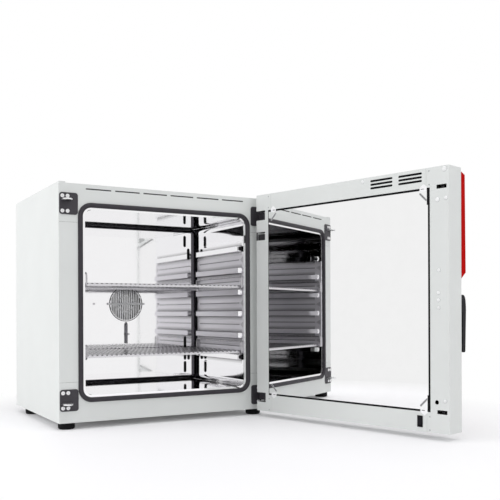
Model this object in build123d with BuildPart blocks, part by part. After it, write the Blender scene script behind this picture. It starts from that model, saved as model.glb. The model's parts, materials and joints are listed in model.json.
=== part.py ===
from build123d import *
import math
import os

os.makedirs("parts", exist_ok=True)

# Bench-top laboratory incubator with forced air, standing with its door open.
# Frame: +X to the right, +Y to the rear, +Z up, millimetres. The origin is on the floor
# under the middle of the cabinet. Pieces of the door are drawn with the door shut and are
# then swung about the hinge pins to where the open door stands.

# ------------------------------------------------------------------ driving dimensions
# Cabinet casing
cabinet_width = 710.0
cabinet_height = 715.0
foot_height = 20.0
casing_sheet = 1.5
side_return = 20.0
return_lip = 8.0
top_step = 3.6
seam = 0.6
seam_height = 120.5
seam_drop = 119.0
vent_count = 6
vent_length = 81.0
vent_height = 4.0
vent_pitch = 92.8
vent_drop = 17.5

# Fits
running_clearance = 0.05
side_clearance = 0.4
rest_clearance = 0.3

# Chamber
chamber_side = 80.0
chamber_sill = 80.0
chamber_head = 79.0
chamber_depth = 368.0
chamber_radius = 20.0
vessel_sheet = 1.0
plenum_depth = 40.0
bead_count = 6
bead_pitch = 73.0
bead_height = 20.0
bead_rise = 14.0
bead_taper = 15.0
bead_front = 7.5
bead_rear = 2.0

# Seal round the chamber mouth
seal_inset = 58.2
seal_width = 15.0
seal_radius = 42.0
seal_edge = 2.5

# Door
door_thickness = 66.0
door_gap = 8.0
door_sheet = 1.5
door_edge_radius = 3.0
open_angle = 104.37
hinge_from_edge = 15.5
hinge_from_face = 30.9
hinge_stile = 64.0
latch_stile = 68.0
window_from_hinge_edge = 53.5
window_from_latch_edge = 53.5
window_bottom = 52.5
window_top = 50.5
panel_gap = 4.5
panel_gap_hinge = 1.5
gasket_thickness = 4.0
gasket_outer_lap = 3.0
gasket_inner_lap = 8.0
door_vent_count = 3
door_vent_length = 74.4
door_vent_height = 5.0
door_vent_pitch = 10.3
door_vent_drop = 22.6
door_vent_from_latch_edge = 118.3
door_vent_step = 94.5
clip_leg = 30.0
clip_over = 3.0
clip_thickness = 1.2
clip_slot_length = 9.0
clip_slot_width = 2.2
clip_slot_inset = 7.5
cap_thickness = 1.0
cap_drops = (
    (12.7, 8.9, 7.0),
    (33.8, 88.4, 6.0),
    (8.5, 86.2, 5.5),
    (30.1, 277.8, 5.0),
    (31.7, 338.2, 5.0),
    (31.7, 358.0, 5.0),
    (31.7, 378.6, 5.0),
    (277.2, 10.4, 5.0),
)
cap_heights = ((12.7, 88.3, 5.0),)
plug_hole_from_edge = 37.4
plug_hole_height = 83.1
plug_hole_radius = 6.0

# Hinges
hinge_drop_upper = 68.5
hinge_height_lower = 44.9
hinge_plate_offset = 3.5
pin_radius = 4.0
boss_radius = 9.0
arm_width = 16.0
arm_height = 24.0
pocket_width = 39.0
pocket_height = 31.0
pocket_reach = 22.5
pocket_bearing = 6.0
pocket_wall = 2.0
cable_drop = 68.3
cable_arm_height = 20.0
cable_pocket_height = 27.5
cable_bore = 4.0

# Strike plates, hinge plates and their screws
plate_margin = 1.7
strike_plate_width = 56.0
hinge_plate_width = 52.0
plate_height = 64.5
plate_thickness = 2.5
plate_radius = 8.0
screw_edge = 10.8
screw_pitch_x = 15.7
screw_pitch_z = 44.4
screw_head_radius = 6.0
screw_head_height = 0.8
screw_shank_radius = 3.0
screw_length = 8.0

# Catches and latch bar
catch_drop_upper = 54.6
catch_height_lower = 57.4
strike_offset = 10.2
catch_from_edge = 21.5
catch_width = 27.0
catch_thickness = 5.0
catch_reach = 28.0
catch_nose = 9.0
catch_eye_width = 12.0
catch_eye_length = 11.0
catch_eye_from_tip = 5.5
catch_slot_width = 30.1
catch_slot_height = 10.8
bar_width = 12.0
bar_thickness = 4.0
bar_gap = 8.0
bar_overrun = 8.0
tongue_width = 8.0
tongue_length = 7.0
tongue_over = 3.0
tongue_slope = 3.0
hook_height = 5.0
hook_drop = 0.8
lug_width = 10.0
lug_height = 18.0
lug_wall = 1.5
guide_height_low = 160.0
guide_drops = (255.0, 115.0)
guide_length = 16.0
guide_wall = 4.0

# Handle
handle_width = 28.0
handle_from_edge = 5.0
handle_length = 157.0
handle_below_console = 39.0
handle_proud = 31.0
handle_tip_proud = 27.0
handle_knee = 34.0
handle_gap = 12.5
handle_gap_drop = 26.0
handle_tip_radius = 5.0
handle_knee_radius = 20.0
handle_crown = 14.0
handle_base_thickness = 2.5
handle_base_lap = 1.0
handle_pivot_proud = 11.5
hub_radius = 8.0
hub_set_back = 2.0
handle_pin_radius = 2.5
cheek_thickness = 4.0
cheek_radius = 13.0
cheek_drop = 16.0
crank_tip_from_bar = 6.0
crank_tip_radius = 4.0
crank_width = 6.0
crank_height = 5.0
crank_slot_up = 5.0
crank_slot_down = 9.0
crank_slot_clearance = 0.8
fork_clearance = 0.45

# Control console on the door
console_width = 260.0
console_from_edge = 3.0
console_height = 298.0
console_from_top = 6.0
console_top_proud = 25.5
console_bottom_proud = 29.0
console_top_slope = 9.0
console_bottom_slope = 21.0
console_wall = 2.5
console_radius = 3.0
display_width = 170.0
display_height = 96.0
display_from_top = 87.0
display_thickness = 1.5
display_ledge = 4.0
button_radius = 8.0
button_pitch = 46.0
button_from_top = 177.0
button_proud = 2.2
button_flange = 2.0
button_flange_lap = 2.5
button_clearance = 0.35

# Rocker switch on the door's lower rail
switch_from_latch_edge = 89.1
switch_height_above = 27.5
switch_width = 16.3
switch_height = 31.4
switch_bezel = 1.5
switch_lap = 0.8
switch_depth = 14.0
switch_wall = 1.2
switch_end = 1.8
rocker_tilt = 9.0
rocker_front = 4.5
rocker_back = 4.0
rocker_back_length = 12.0
rocker_axle_radius = 1.5
rocker_axle_depth = 3.0

# Shelves
shelf_rail_front = 3.0
shelf_rail_rear = 22.0
shelf_sheet = 1.2
shelf_lip = 9.0
shelf_wire = 5.0
shelf_loop_height = 46.0
shelf_loop_radius = 10.0
shelf_rail_from_wall = 6.0
shelf_bead_upper = 4
shelf_bead_lower = 1
shelf_hole_radius = 7.0
shelf_hole_pitch = 24.0
shelf_side_border = 35.0
shelf_end_border = 19.0

# Air circulation, heating and sensing
fan_offset = -3.5
baffle_opening_radius = 58.0
grille_radius = 63.0
grille_ring = 5.0
grille_depth = 3.0
grille_slat = 3.0
grille_pitch = 7.0
grille_inner_radius = 33.0
grille_bar = 9.0
grille_tab_offset = 67.0
baffle_slot_width = 9.0
baffle_slot_height = 41.0
baffle_slot_from_wall = 43.0
baffle_slot_step = 15.0
baffle_slot_from_end = 43.0
baffle_slot_first_pitch = 47.0
baffle_slot_second_pitch = 46.5
impeller_radius = 60.0
impeller_gap = 6.0
impeller_depth = 26.0
impeller_blades = 12
impeller_hub_radius = 12.0
impeller_disc = 2.0
blade_thickness = 1.5
blade_length = 26.0
blade_angle = 35.0
shaft_radius = 4.0
shaft_hole = 6.0
heater_radius = 95.0
heater_tube_radius = 4.0
heater_leg_pitch = 24.0
heater_leg_depth = 8.0
motor_radius = 38.0
motor_length = 58.0
motor_flange_radius = 50.0
motor_flange = 4.0
motor_rear_gap = 15.0
standoff_radius = 5.0
standoff_circle = 43.0
standoff_length = 44.0
motor_bore_depth = 24.0
probe_radius = 3.25
probe_bend = 8.5
probe_length = 71.0
probe_drop = 68.4
probe_tail = 6.0
probe_clip_height = 6.0
probe_clip_drop = 108.5
probe_clip_reach = 9.0
probe_clip_sheet = 1.0
dot_radius = 4.0
dot_height = 2.0
dot_shank_radius = 1.5
dot_shank = 4.0
baffle_screw_offset = 123.0

# Equipment bay at the rear
duct_from_side = 205.0
duct_drop = 155.0
duct_bore = 20.0
duct_wall = 2.0
duct_flange_radius = 34.0
duct_flange = 3.0
duct_spigot = 36.0
flap_from_mouth = 23.0
flap_thickness = 2.0
flap_spindle_radius = 2.0
flap_lever_length = 24.0
flap_lever_width = 7.0
flap_lever_height = 3.0
flap_lever_gap = 1.0
inlet_from_side = 105.0
inlet_height_above = 60.0
inlet_width = 50.0
inlet_height = 28.0
inlet_lap = 2.5
inlet_flange = 2.5
inlet_depth = 34.0
inlet_socket_width = 25.0
inlet_socket_height = 17.0
inlet_socket_depth = 22.0
inlet_pin_length = 13.0
inlet_pin_width = 2.0
inlet_pin_height = 4.0
inlet_pin_pitch = 7.0
inlet_pin_rise = 4.0
module_from_side = 155.0
module_height_above = 250.0
module_width = 170.0
module_height = 190.0
module_depth = 48.0
louvre_count = 8
louvre_length = 120.0
louvre_height = 4.0
louvre_pitch = 14.0
louvre_height_above = 470.0

# Feet and insulation
foot_radius = 25.0
foot_edge = 6.0
foot_from_side = 30.0
foot_from_front = 30.0
foot_from_rear = 111.0
wool_front = 7.5
wool_rear = 42.0
latch_channel = 60.0
door_wool_end = 60.0
door_wool_right = 43.0

# ------------------------------------------------------------------ derived places
bay_depth = standoff_length + motor_flange + motor_length + motor_rear_gap
cabinet_depth = chamber_depth + plenum_depth + 2 * vessel_sheet + bay_depth
chamber_width = cabinet_width - 2 * chamber_side
chamber_height = cabinet_height - chamber_sill - chamber_head

x_side = cabinet_width / 2
y_front = -cabinet_depth / 2
y_rear = cabinet_depth / 2
z_base = foot_height
z_top = foot_height + cabinet_height
z_middle = (z_base + z_top) / 2
y_inside_front = y_front + casing_sheet
y_inside_rear = y_rear - casing_sheet
x_return = x_side - side_return

x_wall = chamber_width / 2
z_floor = z_base + chamber_sill
z_ceiling = z_floor + chamber_height
z_chamber = (z_floor + z_ceiling) / 2
y_baffle = y_front + chamber_depth
y_plenum = y_baffle + vessel_sheet
y_back_plate = y_plenum + plenum_depth
y_bay = y_back_plate + vessel_sheet

seal_height = door_gap - rest_clearance
seal_outer_width = cabinet_width - 2 * seal_inset
seal_outer_height = cabinet_height - 2 * seal_inset
rim_width = seal_outer_width - seal_width
rim_height = seal_outer_height - seal_width
rim_radius = seal_radius - seal_width / 2

y_door_inner = y_front - door_gap
y_door_frame = y_door_inner - door_sheet
y_door_outer = y_door_inner - door_thickness
y_door_skin = y_door_outer + door_sheet
x_pin = x_side - hinge_from_edge
y_pin = y_door_inner - hinge_from_face
hinge_line = Axis((x_pin, y_pin, 0), (0, 0, 1))
y_plate = y_front - plate_thickness
x_pocket = x_side - pocket_width
y_pocket = y_pin - pocket_reach

window_left = -(x_side - window_from_latch_edge)
window_right = x_side - window_from_hinge_edge
window_low = z_base + window_bottom
window_high = z_top - window_top
panel_left = window_left + panel_gap
panel_right = window_right - panel_gap_hinge
panel_low = window_low + panel_gap
panel_high = window_high - panel_gap

z_hinges = (z_base + hinge_height_lower, z_top - hinge_drop_upper)
z_hinge_plates = tuple(z + hinge_plate_offset for z in z_hinges)
z_cable = z_hinges[1] - cable_drop
z_catches = (z_base + catch_height_lower, z_top - catch_drop_upper)
z_strikes = (z_catches[0] + strike_offset, z_catches[1] - strike_offset)
x_catch = -(x_side - catch_from_edge)
y_catch_tip = y_plate - catch_reach
y_eye = y_catch_tip + catch_eye_from_tip + catch_eye_length / 2
y_bar = y_catch_tip - bar_gap
y_bar_back = y_bar - bar_thickness

x_console = -(x_side - console_from_edge - console_width / 2)
z_console_high = z_top - console_from_top
z_console_low = z_console_high - console_height

x_handle = -(x_side - handle_from_edge - handle_width / 2)
z_handle_high = z_console_low - handle_below_console
z_handle_low = z_handle_high - handle_length
z_pivot = z_handle_high - handle_crown
y_pivot = y_door_outer - handle_pivot_proud
y_handle_base = y_door_outer - handle_base_thickness
y_crank_tip = y_bar_back - crank_tip_from_bar

x_switch = -(x_side - switch_from_latch_edge)
z_switch = z_base + switch_height_above

x_fan = fan_offset
z_fan = z_chamber
z_probe = z_fan - probe_drop
y_impeller = y_plenum + impeller_gap
y_flange = y_bay + standoff_length
y_motor = y_flange + motor_flange
x_duct = -(x_side - duct_from_side)
z_duct = z_top - duct_drop
y_duct_mouth = y_rear + duct_spigot
y_flap = y_duct_mouth - flap_from_mouth
x_inlet = x_side - inlet_from_side
z_inlet = z_base + inlet_height_above
x_module = x_side - module_from_side


# ------------------------------------------------------------------ helpers
def across(y):
    """Sketch plane across the cabinet at depth y; its normal points forward."""
    return Plane.XZ.offset(-y)


def level(z):
    """Horizontal sketch plane at height z."""
    return Plane.XY.offset(z)


def block(x, y, z, mode=Mode.ADD):
    """A box from the low and high values along each axis."""
    with Locations(((x[0] + x[1]) / 2, (y[0] + y[1]) / 2, (z[0] + z[1]) / 2)):
        Box(x[1] - x[0], y[1] - y[0], z[1] - z[0], mode=mode)


def area(x, z, mode=Mode.ADD):
    """A rectangle in a sketch across the cabinet, from its low and high values."""
    with Locations(((x[0] + x[1]) / 2, (z[0] + z[1]) / 2)):
        Rectangle(x[1] - x[0], z[1] - z[0], mode=mode)


def about(middle, size):
    """Low and high value of a span of the given size about its middle."""
    return (middle - size / 2, middle + size / 2)


def save(piece, name):
    """Label a finished piece of the cabinet and write it."""
    piece.part.label = name
    export_step(piece.part, f"parts/{name}.step")


def save_swung(piece, name):
    """Swing a piece drawn with the door shut to where the open door stands, and write it."""
    swung = piece.part.rotate(hinge_line, open_angle)
    swung.label = name
    export_step(swung, f"parts/{name}.step")


# ------------------------------------------------------------------ casing
def casing_outline():
    """Outline of the front and rear sheets, whose top edge is lower between the sides."""
    area((-x_side, x_side), (z_base, z_top))
    area((-x_return, x_return), (z_top - top_step, z_top), Mode.SUBTRACT)


def mirrored(piece):
    """The left-hand twin of a right-hand piece."""
    with BuildPart() as twin:
        add(piece.part)
        mirror(about=Plane.YZ, mode=Mode.REPLACE)
    return twin


with BuildPart() as right_panel:
    panel_depth = (y_inside_front, y_inside_rear)
    block((x_side - casing_sheet, x_side), panel_depth, (z_base, z_top))
    block((x_return, x_side), panel_depth, (z_top - casing_sheet, z_top))
    block((x_return, x_return + casing_sheet), panel_depth, (z_top - return_lip, z_top))
    block((x_return, x_side), panel_depth, (z_base, z_base + casing_sheet))
    block((x_return, x_return + casing_sheet), panel_depth, (z_base, z_base + return_lip))
save(right_panel, "side_panel_right")
save(mirrored(right_panel), "side_panel_left")

z_top_panel = z_top - top_step
with BuildPart() as top_panel:
    block((-x_return, x_return), panel_depth, (z_top_panel - casing_sheet, z_top_panel))
save(top_panel, "top_panel")

with BuildPart() as base_pan:
    block((-x_return, x_return), panel_depth, (z_base, z_base + casing_sheet))
save(base_pan, "base_pan")


def at_plate_screws(shape):
    """Draw a shape at the four screws of every strike plate and hinge plate."""
    x_grid = x_side - screw_edge - screw_pitch_x / 2
    places = [(-x_grid, z) for z in z_strikes] + [(x_grid, z) for z in z_hinge_plates]
    with Locations(*places):
        with GridLocations(screw_pitch_x, screw_pitch_z, 2, 2):
            shape()


def screw_hole():
    Circle(screw_shank_radius + running_clearance, mode=Mode.SUBTRACT)


def front_sheet(x, z, name):
    """Write one sheet of the front frame: the outline within x and z round the mouth."""
    with BuildPart() as sheet:
        with BuildSketch(across(y_inside_front)):
            casing_outline()
            area(x, z, Mode.INTERSECT)
            with Locations((0, z_middle)):
                RectangleRounded(rim_width + seam, rim_height + seam, rim_radius, mode=Mode.SUBTRACT)
            at_plate_screws(screw_hole)
            with Locations((0, z_top - vent_drop)):
                with GridLocations(vent_pitch, 0, vent_count, 1):
                    SlotOverall(vent_length, vent_height, mode=Mode.SUBTRACT)
            with Locations((x_pin, z_cable)):
                Circle(cable_bore, mode=Mode.SUBTRACT)
        extrude(amount=casing_sheet)
    save(sheet, name)


z_seams = (z_base + seam_height, z_top - seam_drop)
stile_span = (z_seams[0] + seam / 2, z_seams[1] - seam / 2)
front_sheet((-x_side, x_side), (z_seams[1] + seam / 2, z_top), "front_frame_top")
front_sheet((-x_side, x_side), (z_base, z_seams[0] - seam / 2), "front_frame_bottom")
front_sheet((-x_side, 0), stile_span, "front_stile_left")
front_sheet((0, x_side), stile_span, "front_stile_right")

with BuildPart() as rear_panel:
    with BuildSketch(across(y_rear)):
        casing_outline()
        with Locations((x_duct, z_duct)):
            Circle(duct_bore + duct_wall + running_clearance, mode=Mode.SUBTRACT)
        with Locations((x_inlet, z_inlet)):
            Rectangle(inlet_width - 2 * inlet_lap, inlet_height - 2 * inlet_lap, mode=Mode.SUBTRACT)
        with Locations((x_module, z_base + louvre_height_above)):
            with GridLocations(0, louvre_pitch, 1, louvre_count):
                SlotOverall(louvre_length, louvre_height, mode=Mode.SUBTRACT)
    extrude(amount=casing_sheet)
save(rear_panel, "rear_panel")


# ------------------------------------------------------------------ chamber
def chamber_section(grow, mode=Mode.ADD):
    """Rounded section of the chamber, grown outward by the given amount."""
    with Locations((0, z_chamber)):
        RectangleRounded(
            chamber_width + 2 * grow, chamber_height + 2 * grow, chamber_radius + grow, mode=mode
        )


y_bead_front = y_front + bead_front
y_bead_rear = y_baffle - chamber_radius - bead_rear
bead_length = y_bead_rear - y_bead_front


def bead_plane(x):
    """Sketch plane on the right wall at x, with its normal pointing into the chamber."""
    middle = (x, (y_bead_front + y_bead_rear) / 2, z_chamber)
    return Plane(origin=middle, x_dir=(0, -1, 0), z_dir=(-1, 0, 0))


def beads(x, shrink, mode):
    """Six tapered beads standing inward from the plane at x, or the hollows behind them."""
    with BuildSketch(bead_plane(x)) as outline:
        with GridLocations(0, bead_pitch, 1, bead_count):
            SlotOverall(bead_length - 2 * shrink, bead_height - 2 * shrink)
    extrude(outline.sketch, amount=bead_rise, taper=bead_taper, mode=mode)


with BuildPart() as right_wall:
    with BuildSketch(across(y_back_plate)):
        chamber_section(vessel_sheet)
        chamber_section(0, Mode.SUBTRACT)
        area((x_wall - chamber_radius, x_side), (z_base, z_top), Mode.INTERSECT)
    extrude(amount=y_back_plate - y_inside_front)
    beads(x_wall, 0, Mode.ADD)
    beads(x_wall + vessel_sheet, vessel_sheet, Mode.SUBTRACT)
save(right_wall, "chamber_wall_right")
save(mirrored(right_wall), "chamber_wall_left")

x_flat = x_wall - chamber_radius
for name, low in (("chamber_floor", z_floor - vessel_sheet), ("chamber_ceiling", z_ceiling)):
    with BuildPart() as plate:
        block((-x_flat, x_flat), (y_inside_front, y_back_plate), (low, low + vessel_sheet))
    save(plate, name)

with BuildPart() as chamber_rim:
    with BuildSketch(across(y_inside_front)):
        with Locations((0, z_middle)):
            RectangleRounded(rim_width, rim_height, rim_radius)
        chamber_section(0, Mode.SUBTRACT)
    extrude(amount=casing_sheet)
save(chamber_rim, "chamber_rim")

with BuildPart() as door_seal:
    with BuildSketch(across(y_front)):
        with Locations((0, z_middle)):
            RectangleRounded(seal_outer_width, seal_outer_height, seal_radius)
            RectangleRounded(
                seal_outer_width - 2 * seal_width,
                seal_outer_height - 2 * seal_width,
                seal_radius - seal_width,
                mode=Mode.SUBTRACT,
            )
    extrude(amount=seal_height)
    fillet(door_seal.faces().sort_by(Axis.Y)[0].edges(), seal_edge)
save(door_seal, "door_seal")

with BuildPart() as chamber_back:
    with BuildSketch(across(y_bay)):
        chamber_section(vessel_sheet)
        with Locations((x_fan, z_fan)):
            Circle(shaft_hole, mode=Mode.SUBTRACT)
        with Locations((x_duct, z_duct)):
            Circle(duct_bore, mode=Mode.SUBTRACT)
        with Locations((x_fan, z_fan - heater_radius)):
            with GridLocations(heater_leg_pitch, 0, 2, 1):
                Circle(heater_tube_radius + running_clearance, mode=Mode.SUBTRACT)
        with Locations((x_fan, z_probe)):
            Circle(probe_radius + running_clearance, mode=Mode.SUBTRACT)
    extrude(amount=vessel_sheet)
save(chamber_back, "chamber_back")


# ------------------------------------------------------------------ air baffle and grille
def baffle_slot_places():
    """Middles of the air slots in the baffle, as (x, z), in two columns on each side."""
    places = []
    high = chamber_height / 2 - baffle_slot_from_end
    mid = high - baffle_slot_first_pitch
    low = mid - baffle_slot_second_pitch
    for side in (-1, 1):
        inner = side * (x_wall - baffle_slot_from_wall)
        outer = inner + side * baffle_slot_step
        for row in (-high, -mid, -low, high):
            places.append((inner, z_chamber + row))
        for row in (-mid, mid):
            places.append((outer, z_chamber + row))
    return places


def dot_places():
    """Places of the small domed screws on the baffle, as (x, z, depth of the face under it)."""
    z_clip = z_fan - probe_clip_drop
    x_clip = x_fan + probe_clip_reach
    return [
        (-baffle_screw_offset, z_fan, 0),
        (baffle_screw_offset, z_fan, 0),
        (x_fan - grille_tab_offset, z_fan, grille_depth),
        (x_fan + grille_tab_offset, z_fan, grille_depth),
        (x_clip, z_clip, probe_clip_sheet),
    ]


wing_radius = chamber_radius - side_clearance
x_bend = x_wall - chamber_radius


def wing_profile(side):
    """Plan outline of one rounded wing of the baffle, bent forward towards the chamber mouth."""
    outer = wing_radius
    inner = wing_radius - vessel_sheet
    half = math.sqrt(0.5)
    x0 = side * x_bend
    y0 = y_plenum - outer
    with BuildLine() as outline:
        Line((x0, y0 + inner), (x0, y0 + outer))
        ThreePointArc(
            (x0, y0 + outer), (x0 + side * outer * half, y0 + outer * half), (x0 + side * outer, y0)
        )
        Line((x0 + side * outer, y0), (x0 + side * inner, y0))
        ThreePointArc(
            (x0 + side * inner, y0), (x0 + side * inner * half, y0 + inner * half), (x0, y0 + inner)
        )
    make_face(outline.edges())


with BuildPart() as air_baffle:
    with BuildSketch(level(z_floor)):
        wing_profile(-1)
        wing_profile(1)
        with Locations((0, y_baffle + vessel_sheet / 2)):
            Rectangle(2 * x_bend, vessel_sheet)
    extrude(amount=chamber_height)
    with BuildSketch(across(y_plenum)):
        chamber_section(-side_clearance)
    extrude(amount=2 * wing_radius, mode=Mode.INTERSECT)
    with BuildSketch(across(y_plenum)):
        with Locations((x_fan, z_fan)):
            Circle(baffle_opening_radius)
        with Locations(*baffle_slot_places()):
            SlotOverall(baffle_slot_height, baffle_slot_width, rotation=90)
        with Locations((x_fan, z_probe)):
            Circle(probe_radius + running_clearance)
        with Locations(*[(x, z) for x, z, depth in dot_places()]):
            Circle(dot_shank_radius + running_clearance)
    extrude(amount=vessel_sheet, mode=Mode.SUBTRACT)
save(air_baffle, "air_baffle")

slat_count = 2 * int((grille_radius - grille_ring) / grille_pitch) + 1
with BuildPart() as fan_grille:
    with BuildSketch(across(y_baffle)):
        with Locations((x_fan, z_fan)):
            with GridLocations(grille_pitch, 0, slat_count, 1):
                Rectangle(grille_slat, 2 * grille_radius)
            Circle(grille_radius - grille_ring / 2, mode=Mode.INTERSECT)
    extrude(amount=grille_depth)
    with BuildSketch(across(y_baffle)):
        with Locations((x_fan, z_fan)):
            Circle(grille_radius)
            Circle(grille_radius - grille_ring, mode=Mode.SUBTRACT)
    extrude(amount=grille_depth)
    with BuildSketch(across(y_baffle)):
        with Locations((x_fan, z_fan)):
            Circle(grille_inner_radius + grille_slat / 2)
            Circle(grille_inner_radius - grille_slat / 2, mode=Mode.SUBTRACT)
    extrude(amount=grille_depth)
    with BuildSketch(across(y_baffle)):
        with Locations((x_fan, z_fan)):
            SlotOverall(2 * grille_tab_offset + grille_bar, grille_bar)
    extrude(amount=grille_depth)
    with BuildSketch(across(y_baffle)):
        with Locations((x_fan, z_fan)):
            with GridLocations(2 * grille_tab_offset, 0, 2, 1):
                Circle(dot_shank_radius + running_clearance)
    extrude(amount=grille_depth, mode=Mode.SUBTRACT)
save(fan_grille, "fan_grille")

with BuildPart() as baffle_screws:
    for x, z, depth in dot_places():
        with BuildSketch(across(y_baffle - depth)):
            with Locations((x, z)):
                Circle(dot_radius)
        extrude(amount=dot_height)
        with BuildSketch(across(y_baffle - depth)):
            with Locations((x, z)):
                Circle(dot_shank_radius)
        extrude(amount=-dot_shank)
save(baffle_screws, "baffle_screws")

# Temperature probe: a rod that hangs in front of the baffle and turns back through it
y_probe = y_baffle - probe_bend
z_clip = about(z_fan - probe_clip_drop, probe_clip_height)
x_clip = (x_fan + probe_radius + running_clearance, x_fan + probe_clip_reach + dot_radius)
with BuildPart() as probe_clip:
    block((x_clip[0], x_clip[0] + probe_clip_sheet), (y_probe, y_baffle), z_clip)
    block(x_clip, (y_baffle - probe_clip_sheet, y_baffle), z_clip)
    with BuildSketch(level(z_clip[0])):
        with Locations((x_fan, y_probe)):
            Circle(probe_radius + running_clearance + probe_clip_sheet)
    extrude(amount=probe_clip_height)
    with BuildSketch(level(z_clip[0])):
        with Locations((x_fan, y_probe)):
            Circle(probe_radius + running_clearance)
    extrude(amount=probe_clip_height, mode=Mode.SUBTRACT)
    with BuildSketch(across(y_baffle)):
        with Locations((x_fan + probe_clip_reach, z_fan - probe_clip_drop)):
            Circle(dot_shank_radius + running_clearance)
    extrude(amount=probe_clip_sheet, mode=Mode.SUBTRACT)

with BuildPart() as temperature_probe:
    with BuildLine(Plane.YZ.offset(x_fan)):
        Line((y_probe, z_probe - probe_length), (y_probe, z_probe - probe_bend))
        ThreePointArc(
            (y_probe, z_probe - probe_bend),
            (y_baffle - probe_bend * math.sqrt(0.5), z_probe - probe_bend * (1 - math.sqrt(0.5))),
            (y_baffle, z_probe),
        )
        Line((y_baffle, z_probe), (y_bay + probe_tail, z_probe))
    with BuildSketch(level(z_probe - probe_length)):
        with Locations((x_fan, y_probe)):
            Circle(probe_radius)
    sweep()
    with Locations((x_fan, y_probe, z_probe - probe_length)):
        Sphere(probe_radius)
    add(probe_clip.part)
save(temperature_probe, "temperature_probe")


# ------------------------------------------------------------------ fan, heater and motor
y_disc = y_impeller + impeller_depth - impeller_disc
with BuildPart() as fan_impeller:
    with BuildSketch(across(y_impeller + impeller_depth)):
        with Locations((x_fan, z_fan)):
            Circle(impeller_radius)
    extrude(amount=impeller_disc)
    with BuildSketch(across(y_impeller + impeller_depth)):
        with Locations((x_fan, z_fan)):
            Circle(impeller_hub_radius)
    extrude(amount=impeller_depth)
    with BuildSketch(across(y_disc)):
        with Locations((x_fan, z_fan)):
            with PolarLocations(impeller_radius - blade_length / 2 - 2 * impeller_disc, impeller_blades):
                Rectangle(blade_length, blade_thickness, rotation=blade_angle)
    extrude(amount=impeller_depth - impeller_disc)
    with BuildSketch(across(y_flange + motor_bore_depth - rest_clearance)):
        with Locations((x_fan, z_fan)):
            Circle(shaft_radius)
    extrude(amount=y_flange + motor_bore_depth - rest_clearance - y_disc)
save(fan_impeller, "fan_impeller")

with BuildPart() as fan_motor:
    with BuildSketch(across(y_motor)):
        with Locations((x_fan, z_fan)):
            Circle(motor_flange_radius)
    extrude(amount=motor_flange)
    with BuildSketch(across(y_motor + motor_length)):
        with Locations((x_fan, z_fan)):
            Circle(motor_radius)
    extrude(amount=motor_length)
    with BuildSketch(across(y_flange)):
        with Locations((x_fan, z_fan)):
            with PolarLocations(standoff_circle, 4, start_angle=45):
                Circle(standoff_radius)
    extrude(amount=standoff_length)
    with BuildSketch(across(y_flange + motor_bore_depth)):
        with Locations((x_fan, z_fan)):
            Circle(shaft_radius + running_clearance)
    extrude(amount=motor_bore_depth, mode=Mode.SUBTRACT)
save(fan_motor, "fan_motor")

y_heater = (y_plenum + y_back_plate) / 2
with BuildPart() as heater_coil:
    with Locations((x_fan, y_heater, z_fan)):
        Torus(heater_radius, heater_tube_radius, rotation=(90, 0, 0))
    with BuildSketch(across(y_bay + heater_leg_depth)):
        with Locations((x_fan, z_fan - heater_radius)):
            with GridLocations(heater_leg_pitch, 0, 2, 1):
                Circle(heater_tube_radius)
    extrude(amount=y_bay + heater_leg_depth - y_heater)
save(heater_coil, "heater_coil")

# ------------------------------------------------------------------ insulation
x_wool = x_side - casing_sheet - side_clearance
z_wool = (z_base + return_lip + side_clearance, z_top - return_lip - side_clearance)
with BuildPart() as cabinet_insulation:
    block((-x_wool, x_wool), (y_front + wool_front, y_bay + wool_rear), z_wool)
    with BuildSketch(across(y_bay + side_clearance)):
        chamber_section(vessel_sheet + side_clearance)
    extrude(amount=y_bay + side_clearance - y_front, mode=Mode.SUBTRACT)
    with BuildSketch(across(y_bay + wool_rear)):
        with Locations((x_fan, z_fan)):
            Circle(shaft_hole + side_clearance)
            with PolarLocations(standoff_circle, 4, start_angle=45):
                Circle(standoff_radius + side_clearance)
        with Locations((x_duct, z_duct)):
            Circle(duct_bore + duct_wall + side_clearance)
        with Locations((x_fan, z_fan - heater_radius)):
            with GridLocations(heater_leg_pitch, 0, 2, 1):
                Circle(heater_tube_radius + side_clearance)
        with Locations((x_fan, z_probe)):
            Circle(probe_radius + side_clearance)
    extrude(amount=wool_rear, mode=Mode.SUBTRACT)
save(cabinet_insulation, "cabinet_insulation")

# ------------------------------------------------------------------ plates, catches and hinges
x_strike = -(x_side - plate_margin - strike_plate_width / 2)
x_hinge_plate = x_side - plate_margin - hinge_plate_width / 2


def base_plates(x, z_plates, width):
    """Two rounded plates screwed to the front of the cabinet."""
    with BuildPart() as plates:
        with BuildSketch(across(y_front)):
            with Locations(*[(x, z) for z in z_plates]):
                RectangleRounded(width, plate_height, plate_radius)
            at_plate_screws(screw_hole)
        extrude(amount=plate_thickness)
    return plates


with BuildPart() as strike_plates:
    add(base_plates(x_strike, z_strikes, strike_plate_width).part)
    for z in z_catches:
        with BuildSketch(level(z - catch_thickness / 2)):
            with Locations((x_catch, (y_plate + y_catch_tip) / 2)):
                nose = Rectangle(catch_width, catch_reach)
            chamfer(nose.vertices().group_by(Axis.Y)[0], catch_nose)
            with Locations((x_catch, y_eye)):
                Rectangle(catch_eye_width, catch_eye_length, mode=Mode.SUBTRACT)
        extrude(amount=catch_thickness)
save(strike_plates, "strike_plates")

with BuildPart() as hinge_plates:
    add(base_plates(x_hinge_plate, z_hinge_plates, hinge_plate_width).part)
    for z in z_hinges:
        with BuildSketch(level(z - arm_height / 2)):
            with Locations((x_pin, (y_plate + y_pin) / 2)):
                Rectangle(arm_width, y_plate - y_pin)
            with Locations((x_pin, y_pin)):
                Circle(boss_radius)
                Circle(pin_radius + running_clearance, mode=Mode.SUBTRACT)
        extrude(amount=arm_height)
save(hinge_plates, "hinge_plates")

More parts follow.
